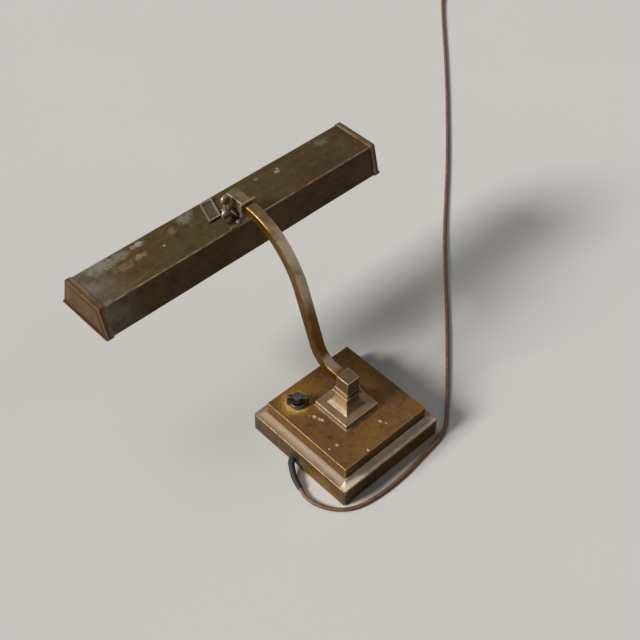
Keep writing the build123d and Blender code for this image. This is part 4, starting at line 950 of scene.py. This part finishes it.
# plain finishes: two colours, a range of roughness, the scales of cloud and grain, and the depth of the grain
plainUsual = dict(blend=(0.35, 0.68), strength=0.5, fixed={})
plainLooks = dict(
    # the knob's worn grey is partly real wear and partly a painted highlight, most of all on the skirt's shoulder
    bakeliteFinish=dict(
        low=(22, 20, 19), high=(40, 36, 33), worn=(140, 137, 133), rough=(0.2, 0.34), cloud=160, blend=(0.4, 0.7),
        grain=1400, depth=0.00003, strength=0.4,
        fixed={"Specular IOR Level": 0.35, "Coat Weight": 0.12, "Coat Roughness": 0.1}),
    frostedGlass=dict(
        low=(226, 224, 216), high=(240, 239, 233), rough=(0.32, 0.45), cloud=90, blend=(0.35, 0.7), grain=1500,
        depth=0.00002, strength=0.4,
        fixed={"Specular IOR Level": 0.5, "Coat Weight": 0.2, "Subsurface Weight": 0.25, "Subsurface Scale": 0.004}))
for plainName, low, high, middle in (
        ("cordJacket", (110, 76, 52), (142, 102, 74), 0.5), ("sleeveRubber", (34, 35, 38), (55, 56, 60), 0.65),
        ("plugPlastic", (72, 48, 32), (100, 70, 48), 0.42), ("paperTie", (30, 28, 27), (52, 48, 46), 0.5),
        ("wireCover", (58, 46, 34), (84, 68, 50), 0.6), ("grommetRubber", (30, 29, 29), (50, 48, 47), 0.55)):
    plainLooks[plainName] = dict(
        low=low, high=high, speck=0.3, rough=(middle - 0.1, middle + 0.1), cloud=120, grain=1900, depth=0.00005,
        fixed={"Specular IOR Level": 0.4})
for plainName, low, high, metal, middle in (
        ("castIron", (52, 50, 48), (80, 76, 72), 0.5, 0.65),
        ("plateSteel", (112, 108, 102), (150, 146, 138), 0.85, 0.42),
        ("bladeBrass", (150, 122, 70), (186, 156, 96), 0.9, 0.34),
        ("capNickel", (140, 138, 132), (176, 172, 164), 0.9, 0.34)):
    plainLooks[plainName] = dict(
        low=low, high=high, rough=(middle - 0.08, middle + 0.1), cloud=130, grain=1300, depth=0.00004,
        fixed={"Metallic": metal})


def plainFinish(name, look):
    # two colours blended by one cloud, which sets the roughness too, under a fine grain
    k = Sizes(plainUsual | look)
    f = Finish(name, **k.fixed)
    cloud, grain = f.noise(k.cloud, 4), f.noise(k.grain, 2)
    f.blend(f.ramp(cloud, *k.blend), k.low, k.high)
    if "worn" in k:
        f.tint(k.worn, f.mark("wear"), f.ramp(cloud, 0.3, 0.6, (0.3, 0.8)))
    if "speck" in k:
        f.tint([0.5 * c for c in k.low], f.ramp(grain, 0.55, 0.8), k.speck)
    return f.feed(Roughness=f.ramp(cloud, 0.3, 0.7, k.rough), Normal=f.bump(grain, k.depth, k.strength))


def feltFinish():
    f = Finish("feltFinish", **{"Sheen Weight": 0.3, "Sheen Roughness": 0.6, "Specular IOR Level": 0.1})
    hair = f.noise(900, 6, 0.75, bend=1.5)
    f.blend(f.ramp(hair, 0.35, 0.7), (38, 46, 36), (70, 82, 66))
    return f.feed(Roughness=f.ramp(hair, 0.2, 0.8, (0.85, 1.0)), Normal=f.bump(hair, 0.0004, 0.7))


def floorFinish(s):
    # what is seen of the floor is pale; soft bounces meet a duller one, so that undersides stay dark
    f = Finish("floorFinish", **{"Specular IOR Level": 0.0})
    pale = f.mix(f.ramp(f.noise(2.0, 3), 0.3, 0.7), (*s.floor, 1), (*[0.985 * c for c in s.floor], 1))
    f.shade = f.mix(f.seen(), (*s.bounce, 1), pale)
    return f.feed(Roughness=f.ramp(f.noise(40, 3), 0.3, 0.7, (0.7, 0.8)))


finishes.update({name: plainFinish(name, look) for name, look in plainLooks.items()})
finishes.update(feltFinish=feltFinish(), floorFinish=floorFinish(stageLook))

# finishes and what wears them; a second finish is for the rounded edges
pieceFinish = {
    "floorFinish": "floor", "cordJacket": "cord", "baseFinish": "baseBlock", "columnFinish": "columnFoot columnFillets",
    "blockFinish": "armBlock", "armFinish": "armTube", "shadeFinish": "shadeTrough",
    "capFinish": "shadeCapLeft shadeCapRight", "hingeFinish": "wingNut", "bakeliteFinish": "switchKnob",
    "knuckleFinish hingeEdge": "armKnuckle", "hingeFinish hingeEdge": "hingeBolt hingeWasher",
    "saddleFinish saddleEdge": "shadeSaddle saddleRivets", "plateSteel plateSteel": "socketBracket",
    "grommetRubber grommetRubber": "cordGrommet"}
nodeFinish = dict(
    castIron="base_weight", plateSteel="bottom_plate bottom_screws column_pipe pipe_nut pipe_washer switch_nut",
    feltFinish="bottom_felt", wireCover="arm_wire shade_wire", bakeliteFinish="lamp_sockets switch_body",
    capNickel="bulb_caps", frostedGlass="bulb_glass", bladeBrass="switch_shaft plug_blades", sleeveRubber="cord_sleeve",
    paperTie="cord_tie", plugPlastic="plug_body")
for chosen, names in pieceFinish.items():
    for name in names.split():
        layers = bpy.data.objects[name].data.materials
        layers.clear()
        for finish in chosen.split():
            layers.append(finishes[finish])
for finish, names in nodeFinish.items():
    for name in names.split():
        for slot in nodes[name].material_slots:
            slot.material = finishes[finish]
print("materials set")

bpy.context.view_layer.update()
